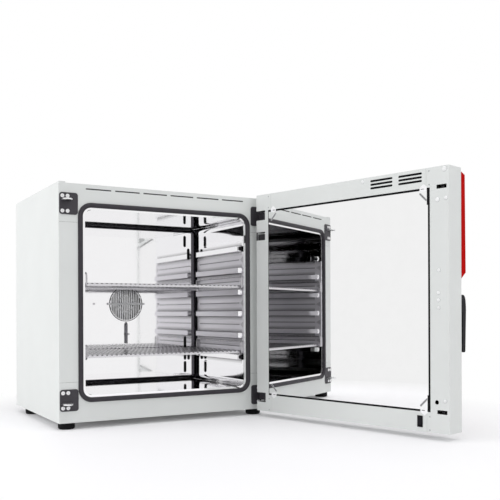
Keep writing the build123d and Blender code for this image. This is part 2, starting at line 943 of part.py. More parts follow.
pin_length = pocket_height + 2 * pocket_bearing
with BuildPart() as hinge_pins:
    for z in z_hinges:
        with BuildSketch(level(z - pin_length / 2)):
            with Locations((x_pin, y_pin)):
                Circle(pin_radius)
        extrude(amount=pin_length)
save(hinge_pins, "hinge_pins")

with BuildPart() as plate_screws:
    with BuildSketch(across(y_plate)):
        at_plate_screws(lambda: Circle(screw_head_radius))
    extrude(amount=screw_head_height)
    with BuildSketch(across(y_plate)):
        at_plate_screws(lambda: Circle(screw_shank_radius))
    extrude(amount=-screw_length)
save(plate_screws, "plate_screws")

with BuildPart() as cable_guide:
    with BuildSketch(level(z_cable - cable_arm_height / 2)):
        with Locations((x_pin, (y_front + y_pin) / 2)):
            Rectangle(arm_width, y_front - y_pin)
        with Locations((x_pin, y_pin)):
            Circle(arm_width / 2)
    extrude(amount=cable_arm_height)
    with BuildSketch(across(y_front)):
        with Locations((x_pin, z_cable)):
            Circle(cable_bore)
    extrude(amount=y_front - y_pin + arm_width, mode=Mode.SUBTRACT)
save(cable_guide, "cable_guide")

with BuildPart() as feet:
    x_foot = x_side - foot_from_side
    for y in (y_front + foot_from_front, y_rear - foot_from_rear):
        with BuildSketch(level(0)):
            with Locations((-x_foot, y), (x_foot, y)):
                Circle(foot_radius)
        extrude(amount=foot_height)
    fillet(feet.faces().group_by(Axis.Z)[0].edges(), foot_edge)
save(feet, "feet")

# ------------------------------------------------------------------ rear fittings
with BuildPart() as exhaust_duct:
    with BuildSketch(across(y_duct_mouth)):
        with Locations((x_duct, z_duct)):
            Circle(duct_bore + duct_wall)
    extrude(amount=y_duct_mouth - y_bay)
    with BuildSketch(across(y_rear + duct_flange)):
        with Locations((x_duct, z_duct)):
            Circle(duct_flange_radius)
    extrude(amount=duct_flange)
    with BuildSketch(across(y_duct_mouth)):
        with Locations((x_duct, z_duct)):
            Circle(duct_bore)
    extrude(amount=y_duct_mouth - y_bay, mode=Mode.SUBTRACT)
    spindle_reach = duct_bore + duct_wall
    with BuildSketch(level(z_duct - spindle_reach)):
        with Locations((x_duct, y_flap)):
            Circle(flap_spindle_radius + running_clearance)
    extrude(amount=2 * spindle_reach, mode=Mode.SUBTRACT)
save(exhaust_duct, "exhaust_duct")

z_flap_lever = z_duct + spindle_reach + flap_lever_gap
with BuildPart() as exhaust_flap:
    with BuildSketch(across(y_flap + flap_thickness / 2)):
        with Locations((x_duct, z_duct)):
            Circle(duct_bore - side_clearance)
    extrude(amount=flap_thickness)
    with BuildSketch(level(z_duct - spindle_reach)):
        with Locations((x_duct, y_flap)):
            Circle(flap_spindle_radius)
    extrude(amount=2 * spindle_reach + flap_lever_gap)
    with BuildSketch(level(z_flap_lever)):
        with Locations((x_duct + flap_lever_length / 2, y_flap)):
            SlotCenterToCenter(flap_lever_length, flap_lever_width)
    extrude(amount=flap_lever_height)
save(exhaust_flap, "exhaust_flap")

with BuildPart() as power_inlet:
    body_width = inlet_width - 2 * inlet_lap - 2 * running_clearance
    body_height = inlet_height - 2 * inlet_lap - 2 * running_clearance
    y_inlet_face = y_rear + inlet_flange
    block(about(x_inlet, inlet_width), (y_rear, y_inlet_face), about(z_inlet, inlet_height))
    block(about(x_inlet, body_width), (y_rear - inlet_depth, y_rear), about(z_inlet, body_height))
    y_socket = y_inlet_face - inlet_socket_depth
    socket_x = about(x_inlet, inlet_socket_width)
    block(socket_x, (y_socket, y_inlet_face), about(z_inlet, inlet_socket_height), Mode.SUBTRACT)
    for step in (-1, 0, 1):
        pin_x = about(x_inlet + step * inlet_pin_pitch, inlet_pin_width)
        pin_z = about(z_inlet + (1 - abs(step)) * inlet_pin_rise, inlet_pin_height)
        block(pin_x, (y_socket, y_socket + inlet_pin_length), pin_z)
save(power_inlet, "power_inlet")

with BuildPart() as power_module:
    module_y = (y_inside_rear - module_depth, y_inside_rear)
    block(about(x_module, module_width), module_y, about(z_base + module_height_above, module_height))
save(power_module, "power_module")


# ------------------------------------------------------------------ shelves
x_rail = x_wall - shelf_rail_from_wall
y_rail = (y_front + shelf_rail_front, y_baffle - shelf_rail_rear)


def shelf(bead, name):
    """Write one perforated shelf and the wire loops that carry it on a pair of beads."""
    slope = math.radians(bead_taper)
    z_bead = z_chamber + (bead - (bead_count + 1) / 2) * bead_pitch
    z_slope = z_bead + bead_height / 2 - shelf_rail_from_wall * math.tan(slope)
    wire = shelf_wire / 2
    z_wire = z_slope + (wire + rest_clearance) / math.cos(slope)
    loop = (z_wire, z_wire + shelf_loop_height - shelf_wire)
    ends = (y_rail[0] + wire, y_rail[1] - wire)
    z_lip = z_wire + wire + running_clearance
    z_plate = z_lip + shelf_lip
    with BuildPart() as rails:
        with BuildLine(Plane.YZ.offset(x_rail)) as path:
            corners = [(ends[0], loop[0]), (ends[1], loop[0]), (ends[1], loop[1]), (ends[0], loop[1])]
            FilletPolyline(*corners, radius=shelf_loop_radius, close=True)
        with BuildSketch(Plane(origin=path.line @ 0, z_dir=path.line % 0)):
            Circle(wire)
        sweep()
        mirror(about=Plane.YZ)
    save(rails, f"{name}_rails")

    x_plate = x_rail + wire
    y_plate_span = (ends[0] + shelf_loop_radius, ends[1] - shelf_loop_radius)
    inner_y = (y_plate_span[0] + shelf_sheet, y_plate_span[1] - shelf_sheet)
    with BuildPart() as plate:
        block((-x_plate, x_plate), y_plate_span, (z_lip, z_plate))
        inner_x = x_plate - shelf_sheet
        block((-inner_x, inner_x), inner_y, (z_lip, z_plate - shelf_sheet), Mode.SUBTRACT)
        free_x = 2 * (x_plate - shelf_side_border - shelf_hole_radius)
        free_y = y_plate_span[1] - y_plate_span[0] - 2 * (shelf_end_border + shelf_hole_radius)
        columns = int(free_x / shelf_hole_pitch) + 1
        rows = int(free_y / shelf_hole_pitch) + 1
        with BuildSketch(level(z_plate)):
            with Locations((0, (y_plate_span[0] + y_plate_span[1]) / 2)):
                with GridLocations(shelf_hole_pitch, shelf_hole_pitch, columns, rows):
                    Circle(shelf_hole_radius)
        extrude(amount=-shelf_sheet, mode=Mode.SUBTRACT)
    save(plate, name)


shelf(shelf_bead_upper, "shelf_upper")
shelf(shelf_bead_lower, "shelf_lower")


# ------------------------------------------------------------------ door casing
pockets = [(z, pocket_height) for z in z_hinges] + [(z_cable, cable_pocket_height)]
x_door_edge = x_side - door_sheet

with BuildPart() as door_shell:
    block((-x_side, x_side), (y_door_outer, y_door_frame), (z_base, z_top))
    fillet(door_shell.faces().sort_by(Axis.Y)[0].edges(), door_edge_radius)
    inner_z = (z_base + door_sheet, z_top - door_sheet)
    block((-x_door_edge, x_door_edge), (y_door_skin, y_door_frame), inner_z, Mode.SUBTRACT)
    for z, height in pockets:
        block((x_door_edge, x_side), (y_pocket, y_door_frame), about(z, height), Mode.SUBTRACT)
    slot_x = about(x_catch, crank_width + 2 * crank_slot_clearance)
    slot_z = (z_pivot - crank_slot_down, z_pivot + crank_slot_up)
    block(slot_x, (y_door_outer, y_door_skin), slot_z, Mode.SUBTRACT)
save_swung(door_shell, "door_shell")


def door_sheet_piece(x, z, name):
    """Write one sheet of the door's inner frame: the outline within x and z round the panel."""
    with BuildPart() as sheet:
        with BuildSketch(across(y_door_inner)):
            area(x, z)
            area((window_left, window_right), (window_low, window_high), Mode.SUBTRACT)
            for z_pocket, height in pockets:
                area((x_pocket, x_side), about(z_pocket, height), Mode.SUBTRACT)
            with Locations(*[(x_catch, z_catch) for z_catch in z_catches]):
                Rectangle(catch_slot_width, catch_slot_height, mode=Mode.SUBTRACT)
            first = -(x_side - door_vent_from_latch_edge)
            with Locations((first, z_top - door_vent_drop), (first + door_vent_step, z_top - door_vent_drop)):
                with GridLocations(0, door_vent_pitch, 1, door_vent_count):
                    SlotOverall(door_vent_length, door_vent_height, mode=Mode.SUBTRACT)
            with Locations((x_switch, z_switch)):
                Rectangle(switch_width - 2 * switch_lap, switch_opening, mode=Mode.SUBTRACT)
            with Locations((x_plug, z_base + plug_hole_height)):
                Circle(plug_hole_radius, mode=Mode.SUBTRACT)
        extrude(amount=door_sheet)
    save_swung(sheet, name)


switch_opening = switch_height - 2 * switch_end
x_plug = -(x_side - plug_hole_from_edge)
x_seams = (-(x_side - latch_stile), x_side - hinge_stile)
rail_x = (x_seams[0] + seam / 2, x_seams[1] - seam / 2)
door_sheet_piece((-x_side, x_seams[0] - seam / 2), (z_base, z_top), "door_stile_latch")
door_sheet_piece((x_seams[1] + seam / 2, x_side), (z_base, z_top), "door_stile_hinge")
door_sheet_piece(rail_x, (z_middle, z_top), "door_rail_top")
door_sheet_piece(rail_x, (z_base, z_middle), "door_rail_bottom")

with BuildPart() as mirror_panel:
    block((panel_left, panel_right), (y_door_frame, y_door_inner), (panel_low, panel_high))
save_swung(mirror_panel, "mirror_panel")

with BuildPart() as panel_gasket:
    y_gasket = y_door_frame - gasket_thickness
    outer_x = (window_left - gasket_outer_lap, window_right + gasket_outer_lap)
    outer_z = (window_low - gasket_outer_lap, window_high + gasket_outer_lap)
    inner_x = (panel_left + gasket_inner_lap, panel_right - gasket_inner_lap)
    inner_z = (panel_low + gasket_inner_lap, panel_high - gasket_inner_lap)
    block(outer_x, (y_gasket, y_door_frame), outer_z)
    block(inner_x, (y_gasket, y_door_frame), inner_z, Mode.SUBTRACT)
save_swung(panel_gasket, "panel_gasket")

with BuildPart() as door_insulation:
    wool_x = (-(x_side - latch_channel), x_side - door_wool_right)
    wool_y = (y_door_skin + side_clearance, y_gasket - side_clearance)
    block(wool_x, wool_y, (z_base + door_wool_end, z_top - door_wool_end))
save_swung(door_insulation, "door_insulation")

with BuildPart() as corner_clips:
    for side_x, x_corner in ((1, window_left), (-1, window_right)):
        for side_z, z_corner in ((1, window_low), (-1, window_high)):
            x0 = x_corner - side_x * clip_over
            z0 = z_corner - side_z * clip_over
            with BuildSketch(across(y_door_inner)):
                with BuildLine():
                    Polyline((x0, z0), (x0 + side_x * clip_leg, z0), (x0, z0 + side_z * clip_leg), close=True)
                make_face()
                with Locations((x0 + side_x * clip_slot_inset, z0 + side_z * clip_slot_inset)):
                    tilt = -45 * side_x * side_z
                    SlotOverall(clip_slot_length, clip_slot_width, rotation=tilt, mode=Mode.SUBTRACT)
            extrude(amount=-clip_thickness)
save_swung(corner_clips, "corner_clips")

with BuildPart() as plug_caps:
    places = [(edge, z_top - drop, radius) for edge, drop, radius in cap_drops]
    places += [(edge, z_base + height, radius) for edge, height, radius in cap_heights]
    for from_edge, z, radius in places:
        with BuildSketch(across(y_door_inner)):
            with Locations((-(x_side - from_edge), z)):
                Circle(radius)
        extrude(amount=-cap_thickness)
save_swung(plug_caps, "plug_caps")

# ------------------------------------------------------------------ door fittings
pocket_x = (x_pocket, x_side)
socket_x = (x_pocket - pocket_wall, x_door_edge)
socket_y = (y_pocket - pocket_wall, y_door_frame)
with BuildPart() as hinge_sockets:
    for z, height in pockets:
        block(socket_x, socket_y, about(z, height + 2 * pocket_bearing))
        block(pocket_x, (y_pocket, y_door_frame), about(z, height), Mode.SUBTRACT)
    for z in z_hinges:
        with BuildSketch(level(z - pin_length / 2)):
            with Locations((x_pin, y_pin)):
                Circle(pin_radius + running_clearance)
        extrude(amount=pin_length, mode=Mode.SUBTRACT)
    with BuildSketch(Plane.YZ.offset(socket_x[0])):
        with Locations((y_pin, z_cable)):
            Circle(cable_bore)
    extrude(amount=pocket_wall, mode=Mode.SUBTRACT)
save_swung(hinge_sockets, "hinge_sockets")

with BuildPart() as latch_bar:
    z_hooks = [z - catch_thickness / 2 - hook_drop - hook_height for z in z_catches]
    bar_y = (y_bar_back, y_bar)
    block(about(x_catch, bar_width), bar_y, (z_hooks[0] - bar_overrun, z_hooks[1] + hook_height + bar_overrun))
    tongue_y = about(y_eye, tongue_length)
    for z, z_hook in zip(z_catches, z_hooks):
        with BuildSketch(Plane.YZ.offset(x_catch)):
            z_tip = z + catch_thickness / 2 + tongue_over
            with BuildLine():
                Polyline(
                    (y_bar, z_hook),
                    (tongue_y[1], z_hook),
                    (tongue_y[1], z_tip - tongue_slope),
                    (tongue_y[1] - tongue_slope, z_tip),
                    (tongue_y[0], z_tip),
                    (tongue_y[0], z_hook + hook_height),
                    (y_bar, z_hook + hook_height),
                    close=True,
                )
            make_face()
        extrude(amount=tongue_width / 2, both=True)
    lug_y = (y_crank_tip - crank_tip_radius - lug_wall, y_bar_back)
    slot_y = (lug_y[0], y_crank_tip + crank_tip_radius + fork_clearance)
    block(about(x_catch, lug_width), lug_y, about(z_pivot, lug_height))
    slot_height = 2 * (crank_tip_radius + fork_clearance)
    block(about(x_catch, lug_width), slot_y, about(z_pivot, slot_height), Mode.SUBTRACT)
save_swung(latch_bar, "latch_bar")

with BuildPart() as latch_guides:
    for z in (z_base + guide_height_low, *[z_top - drop for drop in guide_drops]):
        guide_z = about(z, guide_length)
        guide_y = about((y_bar + y_bar_back) / 2, bar_thickness + 2 * side_clearance + 2 * guide_wall)
        channel_y = about((y_bar + y_bar_back) / 2, bar_thickness + 2 * side_clearance)
        channel_x = about(x_catch, bar_width + 2 * side_clearance)
        block((-x_door_edge, channel_x[1] + guide_wall), guide_y, guide_z)
        block(channel_x, channel_y, guide_z, Mode.SUBTRACT)
save_swung(latch_guides, "latch_guides")

# Handle: a fixed base with two cheeks and a pin, and a lever that works the latch bar
cheek_step = handle_width / 2 - cheek_thickness
with BuildPart() as handle_base:
    block(
        about(x_handle, handle_width + 2 * handle_base_lap),
        (y_handle_base, y_door_outer),
        (z_handle_low - handle_base_lap, z_handle_high + handle_base_lap),
    )
    block(slot_x, (y_handle_base, y_door_outer), slot_z, Mode.SUBTRACT)
    for x in (x_handle - handle_width / 2, x_handle + cheek_step):
        with BuildSketch(Plane.YZ.offset(x)):
            with Locations((y_pivot, z_pivot)):
                Circle(cheek_radius)
            with Locations(((y_pivot + y_handle_base) / 2, z_pivot)):
                Rectangle(y_handle_base - y_pivot, 2 * cheek_radius)
            behind_base = (y_handle_base, y_handle_base + cheek_radius)
            area(behind_base, about(z_pivot, 2 * cheek_radius), Mode.SUBTRACT)
        extrude(amount=cheek_thickness)
    with BuildSketch(Plane.YZ.offset(x_handle - cheek_step)):
        with Locations((y_pivot, z_pivot)):
            Circle(handle_pin_radius)
    extrude(amount=2 * cheek_step)
save_swung(handle_base, "handle_base")

with BuildPart() as handle_lever:
    half = math.sqrt(0.5)
    crown_y = y_pivot + hub_set_back
    crown_z = z_pivot + math.sqrt(handle_crown**2 - hub_set_back**2)
    with BuildSketch(Plane.YZ.offset(x_handle)):
        with BuildLine():
            ThreePointArc(
                (crown_y, crown_z),
                (y_pivot - handle_crown * half, z_pivot + handle_crown * half),
                (y_pivot - handle_crown, z_pivot),
            )
            Polyline(
                (y_pivot - handle_crown, z_pivot),
                (y_door_outer - handle_proud, z_pivot - handle_knee),
                (y_door_outer - handle_tip_proud, z_handle_low),
                (y_door_outer - handle_gap, z_handle_low),
                (y_door_outer - handle_gap, z_pivot - handle_gap_drop),
                (crown_y, z_pivot - handle_crown),
                (crown_y, crown_z),
            )
        make_face()
    extrude(amount=handle_width / 2, both=True)
    fillet(handle_lever.edges().filter_by(Axis.X).sort_by(Axis.Y)[0], handle_knee_radius)
    fillet(handle_lever.edges().filter_by(Axis.X).group_by(Axis.Z)[0], handle_tip_radius)
    hub_half = cheek_step - side_clearance
    top_z = (z_pivot - cheek_drop, z_handle_high)
    top_y = (y_pivot - handle_proud, y_handle_base)
    for side in (-1, 1):
        edges_x = sorted((x_handle + side * hub_half, x_handle + side * handle_width / 2))
        block(edges_x, top_y, top_z, Mode.SUBTRACT)
    with BuildSketch(Plane.YZ.offset(x_handle)):
        with Locations((y_pivot, z_pivot)):
            Circle(hub_radius)
    extrude(amount=hub_half, both=True)
    with BuildSketch(Plane.YZ.offset(x_catch)):
        with Locations(((y_pivot + y_crank_tip) / 2, z_pivot)):
            Rectangle(y_crank_tip - y_pivot, crank_height)
        with Locations((y_crank_tip, z_pivot)):
            Circle(crank_tip_radius)
    extrude(amount=crank_width / 2, both=True)
    with BuildSketch(Plane.YZ.offset(x_handle)):
        with Locations((y_pivot, z_pivot)):
            Circle(handle_pin_radius + running_clearance)
    extrude(amount=handle_width / 2, both=True, mode=Mode.SUBTRACT)
save_swung(handle_lever, "handle_lever")

# ------------------------------------------------------------------ control console
console_lean = math.atan2(
    console_bottom_proud - console_top_proud,
    console_height - console_top_slope - console_bottom_slope,
)


def console_plane(drop, x=x_console):
    """Sketch plane on the console's front, the given drop below its top edge."""
    proud = console_top_proud + (drop - console_top_slope) * math.tan(console_lean)
    origin = (x, y_door_outer - proud, z_console_high - drop)
    return Plane(origin=origin, x_dir=(1, 0, 0), z_dir=(0, -math.cos(console_lean), math.sin(console_lean)))


with BuildPart() as control_cover:
    with BuildSketch(Plane.YZ.offset(x_console)) as console_profile:
        with BuildLine():
            Polyline(
                (y_door_outer, z_console_high),
                (y_door_outer - console_top_proud, z_console_high - console_top_slope),
                (y_door_outer - console_bottom_proud, z_console_low + console_bottom_slope),
                (y_door_outer, z_console_low),
                close=True,
            )
        make_face()
    extrude(amount=console_width / 2, both=True)
    fillet(control_cover.edges().filter_by(lambda e: e.center().Y < y_door_outer - console_wall / 2), console_radius)
    with BuildSketch(Plane.YZ.offset(x_console)):
        offset(console_profile.sketch_local, amount=-console_wall)
        area(
            (y_door_outer - console_wall, y_door_outer),
            (z_console_low + 2 * console_wall, z_console_high - 2 * console_wall),
        )
    extrude(amount=console_width / 2 - console_wall, both=True, mode=Mode.SUBTRACT)
    with BuildSketch(console_plane(display_from_top)):
        Rectangle(display_width, display_height)
    extrude(amount=-display_thickness, mode=Mode.SUBTRACT)
    with BuildSketch(console_plane(display_from_top)):
        Rectangle(display_width - 2 * display_ledge, display_height - 2 * display_ledge)
    extrude(amount=-console_wall, mode=Mode.SUBTRACT)
    with BuildSketch(console_plane(button_from_top)):
        with GridLocations(button_pitch, 0, 3, 1):
            Circle(button_radius + button_clearance)
    extrude(amount=-2 * console_wall, mode=Mode.SUBTRACT)
save_swung(control_cover, "control_cover")

with BuildPart() as display_glass:
    with BuildSketch(console_plane(display_from_top)):
        glass_clearance = 2 * running_clearance
        Rectangle(display_width - glass_clearance, display_height - glass_clearance)
    extrude(amount=-display_thickness)
save_swung(display_glass, "display_glass")

for name, step in (("button_up", 1), ("button_down", 0), ("button_set", -1)):
    with BuildPart() as button:
        face = console_plane(button_from_top, x_console + step * button_pitch)
        flange_top = console_wall + button_clearance
        with BuildSketch(face.offset(-flange_top)):
            Circle(button_radius)
        extrude(amount=flange_top + button_proud)
        with BuildSketch(face.offset(-flange_top)):
            Circle(button_radius + button_flange_lap)
        extrude(amount=-button_flange)
    save_swung(button, name)

# ------------------------------------------------------------------ rocker switch
y_axle = y_door_inner - rocker_axle_depth
body_x = about(x_switch, switch_width - 2 * switch_lap)
with BuildPart() as switch_housing:
    bezel_z = about(z_switch, switch_height)
    block(about(x_switch, switch_width), (y_door_inner, y_door_inner + switch_bezel), bezel_z)
    body_y = (y_door_inner - switch_depth, y_door_inner)
    block(body_x, body_y, about(z_switch, switch_opening))
    hollow_x = (body_x[0] + switch_wall, body_x[1] - switch_wall)
    hollow_y = (body_y[0] + switch_wall, y_door_inner + switch_bezel)
    block(hollow_x, hollow_y, about(z_switch, switch_opening - 2 * switch_wall), Mode.SUBTRACT)
    with BuildSketch(Plane.YZ.offset(body_x[0])):
        with Locations((y_axle, z_switch)):
            Circle(rocker_axle_radius + running_clearance)
    extrude(amount=body_x[1] - body_x[0], mode=Mode.SUBTRACT)
save_swung(switch_housing, "switch_housing")

tilt = math.radians(rocker_tilt)
rocker_plane = Plane(
    origin=(x_switch, y_axle, z_switch), x_dir=(0, math.cos(tilt), math.sin(tilt)), z_dir=(1, 0, 0)
)
with BuildPart() as rocker:
    end_reach = switch_opening / 2 - switch_wall - side_clearance
    end = (end_reach - rocker_front * math.sin(tilt)) * math.cos(tilt)
    rise = end * math.tan(tilt)
    with BuildSketch(rocker_plane):
        with BuildLine():
            Polyline(
                (rocker_front, 0),
                (rocker_front + rise, end),
                (-rocker_back, rocker_back_length / 2),
                (-rocker_back, -rocker_back_length / 2),
                (rocker_front + rise, -end),
                close=True,
            )
        make_face()
    extrude(amount=(hollow_x[1] - hollow_x[0]) / 2 - side_clearance, both=True)
    with BuildSketch(rocker_plane):
        Circle(rocker_axle_radius)
    extrude(amount=(body_x[1] - body_x[0]) / 2 - running_clearance, both=True)
save_swung(rocker, "rocker")
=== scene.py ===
import json
import math

import bmesh
import bpy
import numpy as np
from mathutils import Matrix, Vector


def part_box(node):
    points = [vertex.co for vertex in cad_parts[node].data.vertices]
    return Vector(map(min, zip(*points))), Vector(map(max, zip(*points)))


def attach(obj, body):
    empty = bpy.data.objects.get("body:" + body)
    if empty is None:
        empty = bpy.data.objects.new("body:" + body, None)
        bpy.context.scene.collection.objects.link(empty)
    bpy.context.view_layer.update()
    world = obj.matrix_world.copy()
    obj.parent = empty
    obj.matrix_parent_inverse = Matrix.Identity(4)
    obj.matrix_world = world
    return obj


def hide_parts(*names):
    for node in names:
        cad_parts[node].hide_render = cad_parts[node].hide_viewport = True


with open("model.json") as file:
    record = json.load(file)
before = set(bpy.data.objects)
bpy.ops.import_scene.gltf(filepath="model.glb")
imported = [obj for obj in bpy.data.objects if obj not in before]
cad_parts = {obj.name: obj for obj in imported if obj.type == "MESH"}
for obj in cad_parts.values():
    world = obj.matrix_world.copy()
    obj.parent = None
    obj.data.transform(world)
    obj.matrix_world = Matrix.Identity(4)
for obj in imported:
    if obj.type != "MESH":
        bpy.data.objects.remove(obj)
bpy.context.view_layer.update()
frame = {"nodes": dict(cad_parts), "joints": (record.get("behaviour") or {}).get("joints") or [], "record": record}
nodes = frame["nodes"]
joints = {joint["name"]: joint for joint in frame["joints"]}


def edge_of(node, end, axis):
    """Where a node starts (end 0) or stops (end 1) along an axis, to a micrometre."""
    return round(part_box(node)[end][axis], 6)


# ------------------------------------------------------------------ measures, in metres
mm = 0.001
X, Y, Z = 0, 1, 2
# Casing, with the door's faces where they are when it is shut
X_SIDE = edge_of("side_panel_right", 1, X)
Z_BASE = edge_of("base_pan", 0, Z)
Y_FRONT = edge_of("chamber_rim", 0, Y)
Y_PLATE = round(Y_FRONT - 0.0025, 6)
Y_DOOR_INSIDE = round(Y_FRONT - 0.008, 6)
Y_DOOR_OUTSIDE = round(Y_DOOR_INSIDE - 0.066, 6)
OPEN_ANGLE = -joints["door_hinge"]["range_deg"][0]
HINGE = np.array([*joints["door_hinge"]["pos_m"][:2], 0.0])
STRIKE_HEIGHTS = (0.0876, 0.6702)
HINGE_HEIGHTS = (0.0684, 0.6700)
X_LEVER = -0.336
Z_PIVOT = joints["handle_pull"]["pos_m"][Z]
MIRROR_X = 0.3015
MIRROR_Z = (edge_of("door_rail_bottom", 1, Z), edge_of("door_rail_top", 0, Z))
# Chamber
X_WALL = 0.275
Z_CHAMBER = round((edge_of("chamber_floor", 1, Z) + edge_of("chamber_ceiling", 0, Z)) / 2, 6)
Y_BAFFLE = edge_of("fan_grille", 1, Y)
X_FAN = joints["fan_spin"]["pos_m"][X]
CORNER = 0.020
# Pressed side walls: beads that carry shelves, and grooves between them
BEAD_PITCH = 0.073
BEADS = Z_CHAMBER + (np.arange(6) - 2.5) * BEAD_PITCH
GROOVES = Z_CHAMBER + (np.arange(7) - 3.0) * BEAD_PITCH
BEAD_ENDS = (-0.258, 0.0805)
BEAD_RISE = 0.014
BEAD_FOOT = 0.0108
BEAD_TONGUE, BEAD_SWELL = 0.0045, 0.0055
FRONT_RAMP = {"left": 0.048, "right": 0.0105}
REAR_RAMP = 0.014
GROOVE_DEPTH = 0.0008
GROOVE_HALF = 0.012
GROOVED = (0.168, 0.588)
SATIN_FIELD = (0.2065, 0.5495)
# Perforated shelves
SLOT_ACROSS = 0.0155
SLOT_ALONG = 0.0335
# How bright the surroundings are as light on surfaces, and as seen in mirrors
FILL = 0.56
REFLECTED = 0.93

# ------------------------------------------------------------------ camera
CAMERA_PLACE = (-0.9787, -2.4109, 0.3467)
CAMERA_HEADING = math.atan2(-0.4881, 0.8728)
CAMERA_ROLL = math.radians(-0.216)
CAMERA_LENS = 53.354
CAMERA_SENSOR = 36.0
CAMERA_SHIFT = (0.03976, 0.12444)
CAMERA_RANGE = (0.05, 60.0)


def studio_camera():
    data = bpy.data.cameras.new("studio_camera")
    data.lens = CAMERA_LENS
    data.sensor_width = CAMERA_SENSOR
    data.shift_x, data.shift_y = CAMERA_SHIFT
    data.clip_start, data.clip_end = CAMERA_RANGE
    camera = bpy.data.objects.new("studio_camera", data)
    camera.location = CAMERA_PLACE
    turn = Matrix.Rotation(CAMERA_HEADING, 4, "Z") @ Matrix.Rotation(math.pi / 2, 4, "X")
    camera.rotation_euler = (turn @ Matrix.Rotation(CAMERA_ROLL, 4, "Z")).to_euler()
    bpy.context.collection.objects.link(camera)
    bpy.context.scene.camera = camera


studio_camera()


# ------------------------------------------------------------------ shader helpers
class Finish:
    """A node material built round one Principled shader that reads object coordinates."""

    def __init__(self, name):
        self.material = bpy.data.materials.new(name)
        self.material.use_nodes = True
        self.tree = self.material.node_tree
        self.shader = self.tree.nodes["Principled BSDF"]
        self.place = self.tree.nodes.new("ShaderNodeTexCoord").outputs["Object"]

    def set(self, **sockets):
        for name, value in sockets.items():
            self.shader.inputs[name.replace("_", " ")].default_value = value
        return self

    def link(self, source, socket):
        self.tree.links.new(source, socket)

    def node(self, kind, **inputs):
        made = self.tree.nodes.new(kind)
        for name, value in inputs.items():
            socket = made.inputs[name.replace("_", " ")]
            if hasattr(value, "is_linked"):
                self.link(value, socket)
            else:
                socket.default_value = value
        return made

    def worked(self, kind, operation, *sources):
        """A node of the kind set to one operation, fed from the sources in turn."""
        made = self.node(kind)
        made.operation = operation
        for source, socket in zip(sources, made.inputs):
            if hasattr(source, "is_linked"):
                self.link(source, socket)
            else:
                socket.default_value = source
        return made

    def mix(self, share, first, second):
        """A mix of two shaders: the first at share 0, the second at 1."""
        made = self.node("ShaderNodeMixShader", Fac=share)
        self.link(first, made.inputs[1])
        self.link(second, made.inputs[2])
        return made.outputs[0]

    def mark(self, name):
        """A value that a mesh carries on its points."""
        made = self.node("ShaderNodeAttribute")
        made.attribute_name = name
        return made.outputs["Fac"]

    def stretched(self, scale):
        """Object coordinates stretched by a scale for each axis."""
        return self.node("ShaderNodeMapping", Vector=self.place, Scale=scale).outputs["Vector"]

    def noise(self, scale, detail=3.0, roughness=0.5, vector=None):
        made = self.node("ShaderNodeTexNoise", Scale=scale, Detail=detail, Roughness=roughness)
        self.link(vector or self.place, made.inputs["Vector"])
        return made.outputs["Fac"]

    def spread(self, source, low, high, start=0.3, end=0.7):
        """A value between low and high as the source goes from start to end."""
        made = self.node("ShaderNodeMapRange", Value=source, From_Min=start, From_Max=end,
                         To_Min=low, To_Max=high)
        return made.outputs["Result"]

    def tint(self, source, first, second, start=0.3, end=0.7):
        """A colour between two as the source goes from start to end."""
        ramp_node = self.node("ShaderNodeValToRGB", Fac=source)
        stops = ramp_node.color_ramp.elements
        stops[0].position, stops[1].position = start, end
        stops[0].color, stops[1].color = (*first, 1), (*second, 1)
        return ramp_node.outputs["Color"]

    def bump(self, height, strength, distance):
        made = self.node("ShaderNodeBump", Height=height, Strength=strength, Distance=distance)
        self.link(made.outputs["Normal"], self.shader.inputs["Normal"])
        return self

    def colour(self, source):
        self.link(source, self.shader.inputs["Base Color"])
        return self

    def rough(self, source):
        self.link(source, self.shader.inputs["Roughness"])
        return self


def shade(colour, factor):
    return tuple(channel * factor for channel in colour)


# ------------------------------------------------------------------ materials
def powder_coat(name, colour, roughness=0.42):
    """Baked powder coat: a fine orange peel with hardly any change of shade."""
    coat = Finish(name).set(Specular_IOR_Level=0.4)
    coat.colour(coat.tint(coat.noise(9.0, 2.0), shade(colour, 0.985), shade(colour, 1.01)))
    coat.rough(coat.spread(coat.noise(160.0), roughness - 0.04, roughness + 0.04))
    return coat.bump(coat.noise(420.0, 2.0), 0.07, 0.0006).material


def polished_steel(name, colour, roughness):
    """Sheet steel polished nearly to a mirror, faintly clouded."""
    steel = Finish(name).set(Metallic=1.0)
    cloud = steel.noise(6.0, 4.0, 0.6, steel.stretched((4.0, 4.0, 4.0)))
    steel.colour(steel.tint(cloud, shade(colour, 0.985), colour))
    steel.rough(steel.spread(cloud, roughness * 0.7, roughness * 1.4))
    return steel.material


def ribbed_steel(name):
    """The chamber's pressed side sheet: bright above and below, satin-ground between the beads,
    and darkened by painted shade in its creases and by a painted dark reflection on the left
    wall's polished bands."""
    polished, ground, painted_shade_colour = (0.95, 0.95, 0.96), (0.84, 0.825, 0.865), (0.012, 0.011, 0.013, 1)
    polish_roughness = 0.05
    steel = Finish(name).set(Metallic=1.0)
    grain = steel.noise(240.0, 3.0, 0.6, steel.stretched((1.0, 0.04, 1.0)))
    satin, crease = steel.mark("satin"), steel.mark("crease")
    darkened = steel.node("ShaderNodeMix")
    darkened.data_type = "RGBA"
    steel.link(crease, darkened.inputs[0])
    steel.link(steel.tint(satin, polished, ground, 0.2, 0.8), darkened.inputs[6])
    # painted shade: the near-black colour mixed in along the creases, and a painted dark reflection on the left
    # wall's bands
    darkened.inputs[7].default_value = painted_shade_colour
    steel.colour(darkened.outputs[2])
    scratched = steel.spread(grain, 0.30, 0.38)
    roughness = steel.worked("ShaderNodeMath", "MULTIPLY_ADD", satin, scratched, polish_roughness)
    steel.rough(roughness.outputs[0])
    steel.link(steel.spread(satin, 1.0, 0.8, 0.0, 1.0), steel.shader.inputs["Metallic"])
    return steel.material


